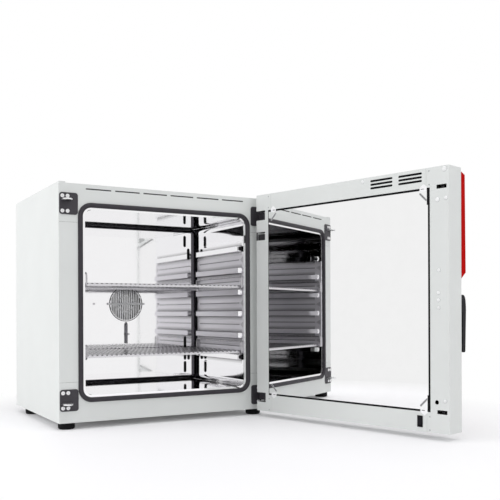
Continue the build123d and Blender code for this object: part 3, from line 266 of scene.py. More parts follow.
def bent_steel(name):
    """The rear bend: a painted reflection of the closed corner in its colour, near black in the corner and paler
    towards the plate.
    """
    # painted reflection: near black at the closed corner, paler on the open side
    closed, open_side = (0.006, 0.006, 0.008), (0.11, 0.105, 0.12)
    steel = Finish(name).set(Metallic=1.0)
    steel.colour(steel.tint(steel.mark("turn"), closed, open_side, 0.1, 1.0))
    steel.rough(steel.spread(steel.noise(30.0, 3.0), 0.12, 0.2))
    return steel.material


def pierced_steel(name):
    """Bright perforated sheet: drawn steel with painted shade on its hole walls, which are dark and dull."""
    sheet, painted_hole_shade_colour = (0.70, 0.69, 0.715), (0.012, 0.012, 0.014)
    steel = Finish(name).set(Metallic=1.0)
    marks = steel.noise(500.0, 3.0, 0.6)
    # colour darkened on the hole walls by painted shade
    steel.colour(steel.tint(steel.mark("pierced"), sheet, painted_hole_shade_colour, 0.0, 0.8))
    steel.rough(steel.spread(marks, 0.22, 0.36))
    return steel.bump(marks, 0.05, 0.0002).material


def drawn_steel(name, colour, roughness=0.28):
    """Bright drawn wire or pressed sheet with fine tool marks."""
    steel = Finish(name).set(Metallic=1.0)
    marks = steel.noise(700.0, 3.0, 0.6)
    steel.colour(steel.tint(marks, shade(colour, 0.9), shade(colour, 1.05)))
    steel.rough(steel.spread(marks, roughness * 0.75, roughness * 1.25))
    return steel.bump(marks, 0.06, 0.0002).material


def moulded_plastic(name, colour, roughness=0.45, gloss=0.4):
    """Moulded plastic with a fine leathery grain."""
    plastic = Finish(name).set(Specular_IOR_Level=gloss)
    cloud = plastic.noise(30.0, 2.0)
    plastic.colour(plastic.tint(cloud, shade(colour, 0.95), shade(colour, 1.06)))
    plastic.rough(plastic.spread(plastic.noise(220.0), roughness - 0.05, roughness + 0.06))
    return plastic.bump(plastic.noise(1200.0, 2.0), 0.12, 0.0002).material


def rubber(name, colour, roughness=0.6, gloss=0.3):
    """Moulded rubber, slightly bloomed."""
    compound = Finish(name).set(Specular_IOR_Level=gloss)
    bloom = compound.noise(60.0, 4.0, 0.6)
    compound.colour(compound.tint(bloom, colour, shade(colour, 1.25)))
    compound.rough(compound.spread(bloom, roughness - 0.08, roughness + 0.08))
    return compound.bump(compound.noise(900.0, 2.0), 0.1, 0.0002).material


def mineral_wool(name):
    """Dark mineral wool batt, matted fibres lying across the sheet."""
    shadow, fibre = (0.022, 0.02, 0.016), (0.085, 0.078, 0.062)
    wool = Finish(name).set(Roughness=0.95, Specular_IOR_Level=0.1)
    fibres = wool.noise(90.0, 8.0, 0.7, wool.stretched((1.0, 1.0, 5.0)))
    wool.colour(wool.tint(fibres, shadow, fibre))
    return wool.bump(fibres, 0.6, 0.003).material


def lacquered_plastic(name, colour):
    """Coloured moulding, satin, through-dyed."""
    cover = Finish(name).set(Specular_IOR_Level=0.02)
    cover.colour(cover.tint(cover.noise(12.0, 2.0), shade(colour, 0.96), shade(colour, 1.04)))
    cover.rough(cover.spread(cover.noise(140.0), 0.42, 0.5))
    return cover.bump(cover.noise(500.0, 2.0), 0.03, 0.0002).material


def display_pane(name):
    """Nearly black glass under a clear coat."""
    darkest, paler = (0.008, 0.009, 0.011), (0.013, 0.014, 0.017)
    pane = Finish(name).set(Coat_Weight=1.0, Coat_Roughness=0.03)
    pane.colour(pane.tint(pane.noise(14.0, 2.0), darkest, paler))
    pane.rough(pane.spread(pane.noise(60.0), 0.12, 0.2))
    return pane.material


finishes = {
    "powder_coat": powder_coat("cabinet_powder_coat", (0.73, 0.75, 0.738)),
    "polished_steel": polished_steel("chamber_polished_steel", (0.955, 0.95, 0.96), 0.05),
    "mirror_steel": polished_steel("door_mirror_steel", (0.95, 0.95, 0.95), 0.012),
    "bright_steel": drawn_steel("bright_drawn_steel", (0.6, 0.59, 0.61)),
    "motor_metal": drawn_steel("motor_cast_metal", (0.55, 0.55, 0.56), 0.4),
    "seal_rubber": rubber("door_seal_rubber", (0.036, 0.033, 0.039), 0.5, 0.25),
    "black_rubber": rubber("foot_black_rubber", (0.004, 0.004, 0.005), 0.6, 0.12),
    "mineral_wool": mineral_wool("mineral_wool_batt"),
    "dark_plate": moulded_plastic("dark_coated_plate", (0.047, 0.044, 0.051), 0.45, 0.3),
    "dark_plastic": moulded_plastic("dark_grey_moulding", (0.012, 0.0115, 0.0145), 0.5, 0.1),
    "grey_plastic": moulded_plastic("grey_moulding", (0.3, 0.3, 0.31)),
    "pale_plastic": moulded_plastic("pale_moulding", (0.62, 0.64, 0.63), 0.4),
    "red_plastic": lacquered_plastic("red_console_moulding", (0.47, 0.0014, 0.001)),
    "dark_glass": display_pane("console_display_pane"),
}
chamber_wall = ribbed_steel("chamber_ribbed_steel")
shelf_steel = pierced_steel("perforated_shelf_steel")
guard_steel = polished_steel("fan_guard_steel", (0.93, 0.93, 0.94), 0.1)
blade_steel = drawn_steel("ground_catch_steel", (0.93, 0.93, 0.94), 0.35)
blued_steel = drawn_steel("heat_blued_steel", (0.035, 0.034, 0.038), 0.4)
probe_steel = polished_steel("probe_tube_steel", (0.26, 0.26, 0.28), 0.06)
vent_grey = moulded_plastic("vent_gauze", (0.07, 0.07, 0.07), 0.6, 0.2)
bend_steel = bent_steel("chamber_bend_steel")
screw_zinc = drawn_steel("zinc_plated_screw", (0.9, 0.9, 0.91), 0.3)
rivet_grey = moulded_plastic("painted_rivet", (0.40, 0.42, 0.42), 0.4)
plug_white = moulded_plastic("white_blind_plug", (0.85, 0.86, 0.86), 0.35)
clip_steel = moulded_plastic("pale_sheet_clip", (0.92, 0.92, 0.93), 0.4)
clip_bar = moulded_plastic("grey_clip_bar", (0.42, 0.42, 0.43), 0.4)
# flat black for painted shade: the shelf lips' slots, the baffle's air slots, the corner clips' slots and grooves,
# the door's air slots and the gap round the mirror
soft_black = rubber("black_liner", (0.006, 0.006, 0.007), 0.7, 0.1)
lit_digit = moulded_plastic("pale_display_digit", (0.75, 0.82, 0.86), 0.5)

slot_of = {s["node"]: s["material_slot"] for s in frame["record"]["subparts"]}
own_finish = {"chamber_back": blued_steel, "cable_guide": finishes["dark_plate"],
              "temperature_probe": probe_steel, "latch_bar": blued_steel}
for node, shown in nodes.items():
    shown.data.materials.clear()
    shown.data.materials.append(own_finish.get(node, finishes[slot_of[node]]))


# ------------------------------------------------------------------ surfaces
def quads_of(rows, columns, close_rows=False, close_columns=False):
    """Quads that join a grid of rows by columns points, closed over in either direction."""
    row = np.arange(rows if close_rows else rows - 1)
    column = np.arange(columns if close_columns else columns - 1)
    r, c = (a.ravel() for a in np.meshgrid(row, column, indexing="ij"))
    r1, c1 = (r + 1) % rows, (c + 1) % columns
    corners = [r * columns + c, r * columns + c1, r1 * columns + c1, r1 * columns + c]
    return np.stack(corners, axis=1)


def mesh_from(name, points, quads, finish, body, smooth=True, marks=None):
    """A piece from an array of points and an array of quads, with extra values on its points."""
    mesh = bpy.data.meshes.new(name)
    points = np.asarray(points, dtype=float).reshape(-1, 3)
    mesh.from_pydata(points.tolist(), [], np.asarray(quads).tolist())
    mesh.polygons.foreach_set("use_smooth", np.full(len(mesh.polygons), smooth))
    for mark, values in (marks or {}).items():
        layer = mesh.attributes.new(mark, "FLOAT", "POINT")
        layer.data.foreach_set("value", np.asarray(values, dtype=np.float32).ravel())
    mesh.materials.append(finish)
    piece = bpy.data.objects.new(name, mesh)
    bpy.context.collection.objects.link(piece)
    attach(piece, body)
    return piece


def outward(piece):
    """Merge doubles and turn every face of a closed piece outwards."""
    work = bmesh.new()
    work.from_mesh(piece.data)
    bmesh.ops.remove_doubles(work, verts=work.verts, dist=1e-6)
    bmesh.ops.recalc_face_normals(work, faces=work.faces)
    work.to_mesh(piece.data)
    work.free()
    return piece


def ramp(distance, reach):
    """Rises from 0 to 1 as the distance goes from nought to the reach."""
    return np.clip(distance / reach, 0, 1)


def bell(distance, width):
    """A bell curve: 1 at no distance, and nearly gone at twice the width."""
    return np.exp(-((distance / width) ** 2))


def rounded_outline(half_x, half_z, radius, steps=8):
    """A rounded rectangle about the origin: four quarter circles joined by their straight sides."""
    angle = np.linspace(0, np.pi / 2, steps)
    quarter = np.stack([np.cos(angle), np.sin(angle)], axis=1)
    corners = []
    for turn, (sx, sz) in enumerate([(1, 1), (-1, 1), (-1, -1), (1, -1)]):
        c, s = np.cos(turn * np.pi / 2), np.sin(turn * np.pi / 2)
        arc = quarter @ np.array([[c, s], [-s, c]]) * radius
        corners.append(arc + np.array([sx * (half_x - radius), sz * (half_z - radius)]))
    return np.concatenate(corners)


def framed(middle, half_x, half_z, radius, profile, steps=8, upright=1.0):
    """A profile of (inset, depth y) carried round a rounded rectangle across the cabinet:
    each profile point follows the outline drawn in by its inset, so corners keep one centre.
    Upright is how much of the inset counts at the top and bottom."""
    rings = []
    for inset, y in profile:
        corner = max(radius - inset, 1e-4)
        ring = rounded_outline(half_x - inset, half_z - inset * upright, corner, steps)
        level = np.full(len(ring), y)
        rings.append(np.stack([middle[0] + ring[:, 0], level, middle[1] + ring[:, 1]], axis=1))
    return np.array(rings)


def stadium(length, width, steps=7, at=(0.0, 0.0), standing=False):
    """A bar outline with round ends, level or standing, about a place: two half circles of the
    bar's width."""
    angle = np.linspace(-np.pi / 2, np.pi / 2, steps)
    middle = np.array([(length - width) / 2, 0])
    cap = np.stack([np.cos(angle), np.sin(angle)], axis=1) * width / 2 + middle
    outline = np.concatenate([cap, -cap])
    return (outline[:, ::-1] if standing else outline) + np.array(at)


def rectangle(x0, x1, z0, z1):
    return np.array([(x0, z0), (x1, z0), (x1, z1), (x0, z1)])


def slab(outline, low, high, bevel):
    """A thin plate from a convex outline: its side, a bevel where the outline shrinks towards its
    middle, and closed faces; points are (u, v, height)."""
    outline = np.asarray(outline, dtype=float)
    centre = outline.mean(axis=0)
    spokes = outline - centre
    shrunk = centre + spokes * (1 - bevel / np.linalg.norm(spokes, axis=1).max())
    middle = np.repeat(centre[None], len(outline), axis=0)
    rings = [(middle, low), (outline, low), (outline, high - bevel), (shrunk, high), (middle, high)]
    return np.array([np.insert(ring, 2, height, axis=1) for ring, height in rings])


def plates_piece(name, slabs, finish, body, place):
    """Several slabs in one piece; place turns (u, v, height) points into the cabinet's frame."""
    points, quads, count = [], [], 0
    for rings in slabs:
        points.append(rings.reshape(-1, 3))
        quads.append(quads_of(*rings.shape[:2], close_columns=True) + count)
        count += len(points[-1])
    points, quads = place(np.concatenate(points)), np.concatenate(quads)
    return outward(mesh_from(name, points, quads, finish, body, smooth=False))


def about_hinge(points, degrees):
    """Points turned about the hinge pins."""
    c, s = math.cos(math.radians(degrees)), math.sin(math.radians(degrees))
    flat = np.asarray(points, dtype=float).reshape(-1, 3) - HINGE
    return flat @ np.array([[c, s, 0], [-s, c, 0], [0, 0, 1]]) + HINGE


def swung(points):
    """Points drawn with the door shut, taken to where the open door stands."""
    return about_hinge(points, OPEN_ANGLE)


def unswung(node):
    """A door node's points as they are with the door shut."""
    mesh = nodes[node].data
    points = np.empty(len(mesh.vertices) * 3)
    mesh.vertices.foreach_get("co", points)
    return about_hinge(points, -OPEN_ANGLE)


def level_with(y, way=-1, x=0.0, z=0.0):
    """Turns (u, v, height) into points that stand off an upright plane at depth y, forwards where
    way is -1 and backwards where it is 1."""
    def place(flat):
        return np.stack([x + flat[:, 0], y + way * flat[:, 2], z + flat[:, 1]], axis=1)

    return place


def on_door_inside(flat):
    """(x, z, height) on the shut door's inner face, swung to where the door stands."""
    return swung(level_with(Y_DOOR_INSIDE, 1)(flat))


def front_of(node):
    """Turns (x, z, height) into points standing off the leaning front face of a door node."""
    points = unswung(node)
    upper = points[:, 2] > points[:, 2].mean()
    (_, y0, z0), (_, y1, z1) = (points[half][np.argmin(points[half][:, 1])]
                                for half in (~upper, upper))
    slope = (y1 - y0) / (z1 - z0)

    def place(flat):
        y = y0 + slope * (flat[:, 1] - z0) - flat[:, 2]
        return swung(np.stack([flat[:, 0], y, flat[:, 1]], axis=1))

    return place


# ------------------------------------------------------------------ chamber
def ribbed_sheet(y, z, painted_tip_shade, reach):
    """How far the side wall stands into the chamber at (y, z), and how much painted shade lies in its creases.
    Bead: a ridge 14 mm high, lifted by a ramp of the given reach at the front and one of 14 mm at
    the rear. It starts as a tongue 9 mm wide and widens to 20 mm with the fifth power of its lift,
    and its flank rises with the square root of the distance inside its edge, over 1.2 mm. Groove:
    a shallow V midway between two beads, 24 mm wide, whose ends run out in a three-cornered facet.
    The painted shade is a bell curve about each bead's foot and each groove's middle line, a paler
    painted shade on the grooves' end facets, and, where asked, dark front tips on the top and bottom beads."""
    front, rear = BEAD_ENDS
    rise = np.zeros_like(y)
    crease = np.zeros_like(y)
    end_beads = (z > 0.55) | (z < 0.205)
    for bead in BEADS:
        along = np.clip(y, front + 0.010, rear - 0.010)
        off = np.hypot(y - along, z - bead)
        lift = ramp(y - front, reach) * ramp(rear + 0.001 - y, REAR_RAMP)
        half = BEAD_TONGUE + BEAD_SWELL * ramp(lift * reach, 0.0105) ** 5
        rise = np.maximum(rise, BEAD_RISE * ramp(half - off, 0.0012) ** 0.5 * lift)
        # painted shade: a dark line along each bead's foot, and dark front tips on the top and bottom beads where
        # asked
        foot = 0.85 * bell(off - BEAD_FOOT, 0.0012) * (lift > 0.5)
        tip = painted_tip_shade * (y < front + 0.009) * (lift > 0.02) * (off < 0.0085) * end_beads
        crease = np.maximum(np.maximum(crease, foot), tip)
    grooved = (z >= GROOVED[0]) & (z <= GROOVED[1])
    for groove in GROOVES:
        off = np.abs(z - groove)
        run = np.minimum(ramp(y - front, 0.024), ramp(rear - y, 0.016))
        rise = rise - GROOVE_DEPTH * np.clip(run - off / GROOVE_HALF, 0, 1) * grooved
        # painted shade: a dark line down each groove's middle and a paler shade on its end facets
        middle = 0.85 * bell(off, 0.0015) * (run >= 1)
        facet = 0.3 * ramp(GROOVE_HALF * (1 - run) - off, 0.003) * (y < 0) * (y > front)
        crease = np.maximum(crease, np.maximum(middle, facet) * grooved)
    return rise, crease


def chamber_side(name, side):
    """One side wall of the chamber: a section of two quarter circles and a straight, carried from
    the mouth to the rear, with the ribbed sheet's rise added towards the chamber."""
    is_right = side > 0
    flank = np.array((0, 3, 5.5, 7.5, 8.8, 9.3, 9.7, 10, 10.5, 11, 11.6)) * mm
    valley = np.array((0, 1.0, 1.8, 3, 4.5, 6, 7.5, 9, 10.5, 12, 13)) * mm
    low, high = Z_CHAMBER - 0.258, Z_CHAMBER + 0.258
    z = [[low, high]]
    for middles, steps in ((BEADS, flank), (GROOVES, valley)):
        z += [(middles[:, None] + way * steps).ravel() for way in (-1, 1)]
    z = np.unique(np.round(np.concatenate(z), 6))
    arc = np.linspace(0, np.pi / 2, 9)[:-1]
    across, down = X_WALL - CORNER + CORNER * np.sin(arc), CORNER * np.cos(arc)
    bottom = np.stack([across, low - down], axis=1)
    straight = np.stack([np.full(len(z), X_WALL), z], axis=1)
    top = np.stack([across, high + down], axis=1)[::-1]
    section = np.concatenate([bottom, straight, top])
    y = np.concatenate([[-0.2640], np.linspace(-0.2600, -0.2280, 22),
                        np.linspace(-0.2240, 0.0560, 24), np.linspace(0.0590, 0.0840, 16),
                        [Y_BAFFLE, 0.1435]])
    ys = np.broadcast_to(y[:, None], (len(y), len(section)))
    zs = np.broadcast_to(section[:, 1], ys.shape)
    rise, crease = ribbed_sheet(ys, zs, is_right, FRONT_RAMP["right" if is_right else "left"])
    pressed = (zs > low) & (zs < high)
    rise, crease = rise * pressed, crease * pressed
    satin = ramp(zs - SATIN_FIELD[0], 0.001) * ramp(SATIN_FIELD[1] - zs, 0.001)
    satin = satin * ~((rise > 0.0015) & (ys < BEAD_ENDS[0] + 0.0115))
    # painted dark reflection: on the left wall the polished bands above and below the satin field take the dark
    # crease colour
    if not is_right:
        band = (zs > SATIN_FIELD[1]) | (zs < SATIN_FIELD[0])
        plain = (rise < 0.001) | (ys > -0.235)
        crease = np.maximum(crease, 0.8 * (1 - satin) * band * plain)
    points = np.stack([side * (section[:, 0] - rise), ys, zs], axis=2)
    quads = quads_of(len(y), len(section))
    quads = quads if is_right else quads[:, ::-1]
    piece = mesh_from(name + "_ribbed", points, quads, chamber_wall, "cabinet",
                      marks={"crease": crease, "satin": satin})
    thick = piece.modifiers.new("sheet", "SOLIDIFY")
    thick.thickness = 0.0006
    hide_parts(name)


def perforated_shelf(node, body):
    """A shelf of perforated sheet: long slots in straight columns, each in its own oblong cell of
    eight quads a side, inside a border whose profile turns down into a lip round a rounded
    rectangle; and a row of small slots along the front and rear lips, drawn as thin black plates of painted shade."""
    (x0, y0, z0), (x1, y1, z1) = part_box(node)
    half, depth, border, sheet = (x1 - x0) / 2, (y1 - y0) / 2, 0.008, 0.0012
    middle = np.array([(x0 + x1) / 2, (y0 + y1) / 2])
    wide, long = 2 * half - 2 * border, 2 * depth - 2 * border
    columns, rows = round(wide / SLOT_ACROSS), round(long / SLOT_ALONG)
    pitch = np.array([wide / columns, long / rows])
    angle = np.arange(8) * np.pi / 4
    circle = np.stack([np.cos(angle), np.sin(angle)], axis=1)
    quarter = np.sign(np.round(circle, 6))
    stretch = np.array([0, 0.0096]) * quarter
    hole, brow, edge = circle * 0.0040 + stretch, circle * 0.0044 + stretch, quarter * pitch / 2
    steps = np.meshgrid(np.arange(columns) + 0.5, np.arange(rows) + 0.5, indexing="ij")
    grid = np.stack(steps, axis=2).reshape(-1, 2)
    places = (grid - np.array([columns, rows]) / 2) * pitch + middle
    cells = np.zeros((len(places), 6, 8, 3))
    cells[..., :2] = np.stack([edge, brow, hole, hole, brow, edge]) + places[:, None, None]
    cells[..., 2] = np.repeat([z1, z1 - sheet], 3)[:, None]
    cells = cells.reshape(-1, 3)
    starts = np.arange(len(places)) * 48
    quads = (quads_of(6, 8, close_columns=True) + starts[:, None, None]).reshape(-1, 4)
    # painted shade on the slots' walls: 1 on the hole rings, 0 on the sheet
    pierced = np.tile(np.repeat([0, 0, 1, 1, 0, 0], 8), len(places))
    lip = [(border, z1), (0.003, z1), (0.0012, z1 - 0.0004), (0.0004, z1 - 0.0012),
           (0, z1 - 0.003), (0, z0), (sheet, z0), (sheet, z1 - 0.003), (0.002, z1 - 0.0016),
           (0.003, z1 - sheet), (border, z1 - sheet)]
    rim = []
    for inset, height in lip:
        ring = rounded_outline(half - inset, depth - inset, max(0.006 - inset, 1e-5), 5)
        rim.append(np.insert(ring + middle, 2, height, axis=1))
    rim = np.array(rim)
    rim_quads = quads_of(*rim.shape[:2], close_columns=True)[:, ::-1] + len(cells)
    points = np.concatenate([cells, rim.reshape(-1, 3)])
    pierced = np.append(pierced, np.zeros(len(points) - len(pierced)))
    piece = mesh_from(f"{node}_perforated", points, np.concatenate([quads, rim_quads]),
                      shelf_steel, body, smooth=False, marks={"pierced": pierced})
    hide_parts(node)
    # painted shade: the lip slots are black plates on the lip, not holes
    slots = [slab(stadium(0.0070, 0.0020, 3, at=(step * SLOT_ACROSS, z1 - 0.0020)),
                  -0.0002, 0.0001, 0.00005) for step in range(-17, 18)]
    for end, place in (("front", level_with(y0, -1)), ("rear", level_with(y1, 1))):
        piece = plates_piece(f"{node}_{end}_slots", slots, soft_black, body, place)


def rear_bend():
    """The bend where the rear wall runs into the sides, ceiling and floor: a quarter circle of
    18.3 mm carried round the chamber's outline, drawn tighter at the top and bottom, with a mark of
    painted reflection that goes from wall to rear plate; and dark plates of painted shadow in the baffle's air
    slots."""
    bend, y_bend, overlap = 0.0183, 0.0839, 0.0002
    arc = np.linspace(0, np.pi * 0.44, 12)
    inset = CORNER - bend * np.cos(arc)
    profile = [(overlap, y_bend), *zip(inset, y_bend + bend * np.sin(arc)),
               (inset[-1] + overlap, 0.1026)]
    rings = framed((0, Z_CHAMBER), X_WALL, 0.278, CORNER, profile, upright=0.66)
    turn = np.repeat(np.concatenate([[0], arc / arc[-1], [1]])[:, None], rings.shape[1], axis=1)
    level = (np.abs(rings[..., 0]) < 0.254) | (np.abs(rings[..., 2] - Z_CHAMBER) > 0.262)
    # painted reflection: held between 0.35 and 0.75 on the level runs at the top and bottom
    turn = np.where(level, 0.35 + 0.4 * turn, turn)
    quads = quads_of(*rings.shape[:2], close_columns=True)
    rows = [(0.232, -0.235), (0.232, -0.188), (0.232, -0.1415), (0.232, 0.235), (0.247, -0.188),
            (0.247, 0.188)]
    slots = [slab(stadium(0.0425, 0.0108, at=(side * x, Z_CHAMBER + z), standing=True),
                  0.0002, 0.0003, 0.00002) for side in (-1, 1) for x, z in rows]
    piece = plates_piece("air_slot_shadow", slots, soft_black, "cabinet", level_with(Y_BAFFLE))
    piece = mesh_from("chamber_rear_bend", rings, quads, bend_steel, "cabinet",
                      marks={"turn": turn})


def bulb_seal():
    """The seal as a soft bulb: height 7.7 mm times (1 - u^2)^0.4 over its 15 mm width, with a
    shallow dip beside the bulb's foot, carried round the mouth."""
    (x0, y0, z0), (x1, y1, z1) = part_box("door_seal")
    width, radius, dip = 0.015, 0.042, 0.0009
    u = np.linspace(-1, 1, 21)
    height = (y1 - y0) * np.clip(1 - u**2, 0, 1) ** 0.4 - dip * bell(u + 0.62, 0.12)
    profile = [((1 + a) / 2 * width, y1 - h) for a, h in zip(u, height)]
    middle = ((x0 + x1) / 2, (z0 + z1) / 2)
    rings = framed(middle, (x1 - x0) / 2, (z1 - z0) / 2, radius, profile, 14)
    quads = quads_of(*rings.shape[:2], close_rows=True, close_columns=True)
    rubber_finish = finishes["seal_rubber"]
    piece = outward(mesh_from("door_seal_bulb", rings, quads, rubber_finish, "cabinet"))
    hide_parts("door_seal")


# ------------------------------------------------------------------ fastenings
def turned(radii, heights, sides=24, socket=None):
    """A turned shape: the profile (radius, height) carried round its own axis. A socket
    (count, corners) gives the profile's first points the radius of a regular polygon."""
    angle = np.linspace(0, 2 * np.pi, sides, endpoint=False)
    radius = np.repeat(np.asarray(radii)[:, None], sides, axis=1)
    height = np.repeat(np.asarray(heights)[:, None], sides, axis=1)
    if socket:
        count, corners = socket
        wedge = np.pi / corners
        radius[:count] *= np.cos(wedge) / np.cos((angle % (2 * wedge)) - wedge)
    return np.stack([radius * np.cos(angle), radius * np.sin(angle), height], axis=2)


def set_on_front(shape, places, y):
    """Copies of a turned shape with its axis pointing forward, standing at (x, z) places on y."""
    rings, sides = shape.shape[:2]
    flat = shape.reshape(-1, 3)
    points = np.concatenate([level_with(y, -1, x, z)(flat) for x, z in places])
    one = quads_of(rings, sides, close_columns=True)[:, ::-1]
    quads = np.concatenate([one + i * rings * sides for i in range(len(places))])
    return points, quads


def set_on_door(shape, places):
    """Copies of a turned shape standing on the door's inner face at (x, z) places."""
    points, quads = set_on_front(shape, [(-x, z) for x, z in places], 0.0)
    return swung(points * np.array([-1, -1, 1]) + np.array([0, Y_DOOR_INSIDE, 0])), quads


def plate_screws():
    """Lens-headed screws of the strike and hinge plates: a low dome with a hexagon socket."""
    columns = X_SIDE - 0.0108 - np.array([0, 0.0157])
    places = [(way * x, z + step) for way, heights in ((-1, STRIKE_HEIGHTS), (1, HINGE_HEIGHTS))
              for z in heights for step in (-0.0222, 0.0222) for x in columns]
    radii = np.array([0, 1.8, 1.9, 3.4, 4.8, 5.7, 6.0, 6.0, 0]) * mm
    heights = np.array([-0.6, -0.6, 1.55, 1.4, 1.0, 0.5, 0.1, -0.9, -0.9]) * mm
    points, quads = set_on_front(turned(radii, heights, socket=(3, 6)), places, Y_PLATE)
    piece = outward(mesh_from("plate_screw_heads", points, quads, screw_zinc, "cabinet"))
    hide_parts("plate_screws")


def door_rivets():
    """Small flush rivets by the seams of the door's inner frame: shallow domes of 2.4 mm radius."""
    stations = np.linspace(0, 1, 5)
    radii = 0.0024 * np.append(stations, 0)
    heights = np.append(0.0007 * (1 - stations**2), -0.0002)
    heights[4] = -0.0002
    columns = ((X_SIDE - 0.0545, (0.7258, 0.6897, 0.0625, 0.0263)),
               (X_SIDE - 0.651, (0.7260, 0.6892, 0.0625, 0.0263)))
    places = [(x, z) for x, column in columns for z in column]
    points, quads = set_on_door(turned(radii, heights, 14), places)
    piece = outward(mesh_from("door_frame_rivets", points, quads, rivet_grey, "door"))


def door_caps():
    """Domed plastic plugs of the door's inner frame, whose height falls off as a circle's arc, each
    with a thin grey ring of painted shade round its foot. A spot is its distance from the latch edge, its height
    and its radius."""
    spots = np.array([(12.7, 706.1, 7.0), (33.8, 626.6, 6.0), (8.5, 628.8, 5.5), (30.1, 437.2, 5.0),
                      (31.7, 376.8, 5.0), (31.7, 357.0, 5.0), (31.7, 336.4, 5.0),
                      (277.2, 704.6, 5.0), (12.7, 88.3, 5.0)]) * mm
    stations = np.array([0, 0.3, 0.55, 0.75, 0.9, 0.97, 1.0, 1.0, 0])
    heights = 0.0026 * np.sqrt(np.clip(1 - 0.8 * stations**2, 0, 1)) - 0.0004
    heights[-2:] = -0.0002
    points, quads, rim_shades = [], [], []
    for i, (edge, height, radius) in enumerate(spots):
        place = (edge - X_SIDE, Z_BASE + height)
        plug, faces = set_on_door(turned(radius * stations, heights, 20), [place])
        points.append(plug)
        quads.append(faces + i * len(plug))
        # painted shade: a thin grey ring round each plug
        rim = stadium(2 * radius + 0.0014, 2 * radius + 0.0013, 9, at=place)
        rim_shades.append(slab(rim, -0.0003, 0.0001, 0.00003))
    points, quads = np.concatenate(points), np.concatenate(quads)
    piece = outward(mesh_from("door_frame_plugs", points, quads, plug_white, "door"))
    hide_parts("plug_caps")
    piece = plates_piece("door_plug_rims", rim_shades, rivet_grey, "door", on_door_inside)


# ------------------------------------------------------------------ door and front
def corner_fittings():
    """The mirror's four corner clips: a thin six-cornered plate with its small slot, and the
    slotted flat bar that lies askew beside it, all flat enough to clear the seal when the door is
    shut. The slot and the bar's groove are thin black plates of painted shade."""
    tips = np.array([(35, 10.5), (25, 13), (13, 10.5), (12, 0.5), (22, -8.5), (34, 0.5)]) * mm
    askew = np.array([[-1, 1], [1, 1]]) / np.sqrt(2)
    bar_middle = np.array([0.0238, 0.0270])
    bar = stadium(0.032, 0.0060) @ askew + bar_middle
    groove = stadium(0.027, 0.0012, 5) @ askew + bar_middle
    slot = stadium(0.010, 0.0016, 5, at=(0.0255, 0.0055))
    plates, bars, marks = [], [], []
    for x, way_x in ((-MIRROR_X, 1), (MIRROR_X, -1)):
        for z, way_z in zip(MIRROR_Z, (1, -1)):
            way, corner = np.array([way_x, way_z]), np.array([x, z])
            plates.append(slab(tips * way + corner, -0.0003, 0.0004, 0.0002))
            bars.append(slab(bar * way + corner, -0.0003, 0.0002, 0.00005))
            # painted shade: the groove and the slot are black plates, not cuts
            marks.append(slab(groove * way + corner, 0.0001, 0.00026, 0.00003))
            marks.append(slab(slot * way + corner, 0.0003, 0.00046, 0.00003))
    clips = plates_piece("corner_clip_plates", plates, clip_steel, "door", on_door_inside)
    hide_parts("corner_clips")
    piece = plates_piece("corner_clip_bars", bars, clip_bar, "door", on_door_inside)
    piece = plates_piece("corner_clip_slots", marks, soft_black, "door", on_door_inside)


def console_face_marks():
    """Seven-bar figures on the display, with a row of dashes under them, and a plain sign on each
    push button. A bar of a figure is (across, up, standing) in half figures."""
    glass = unswung("display_glass")
    x_mid, _, z_mid = (glass.min(axis=0) + glass.max(axis=0)) / 2
    bars = {"a": (0, 1, 0), "b": (0.5, 0.5, 1), "c": (0.5, -0.5, 1), "d": (0, -1, 0),
            "e": (-0.5, -0.5, 1), "f": (-0.5, 0.5, 1), "g": (0, 0, 0)}
    figures = (("abgcd", -0.036), ("abc", -0.008), ("abcdef", 0.028))
    outlines = []
    for lit, x in figures:
        for across, up, standing in (bars[bar] for bar in lit):
            at = (x_mid + x + across * 0.018, z_mid + 0.008 + up * 0.017)
            outlines.append(stadium(0.0150, 0.0032, 3, at, standing))
    outlines.append(stadium(0.0034, 0.0033, at=(x_mid + 0.010, z_mid - 0.009)))
    for step in range(8):
        outlines.append(stadium(0.011, 0.0022, 3, at=(x_mid - 0.056 + step * 0.016, z_mid - 0.032)))
    slabs = [slab(outline, -0.0001, 0.0003, 0.0001) for outline in outlines]
    piece = plates_piece("display_figures", slabs, lit_digit, "door", front_of("display_glass"))
    signs = {"up": [(-0.004, -0.0025), (0.004, -0.0025), (0.0004, 0.0035), (-0.0004, 0.0035)],
             "down": [(-0.0004, -0.0035), (0.0004, -0.0035), (0.004, 0.0025), (-0.004, 0.0025)],
             "set": stadium(0.0062, 0.006)}
    for push, sign in signs.items():
        button = f"button_{push}"
        points = unswung(button)
        cap = points[points[:, 1] < points[:, 1].min() + 0.0012]
        middle = (cap.min(axis=0) + cap.max(axis=0)) / 2
        plate = slab(np.asarray(sign) + middle[[0, 2]], -0.0001, 0.0002, 0.00005)
        mark = plates_piece(f"{button}_sign", [plate], lit_digit, f"{push}_button",
                            front_of(button))


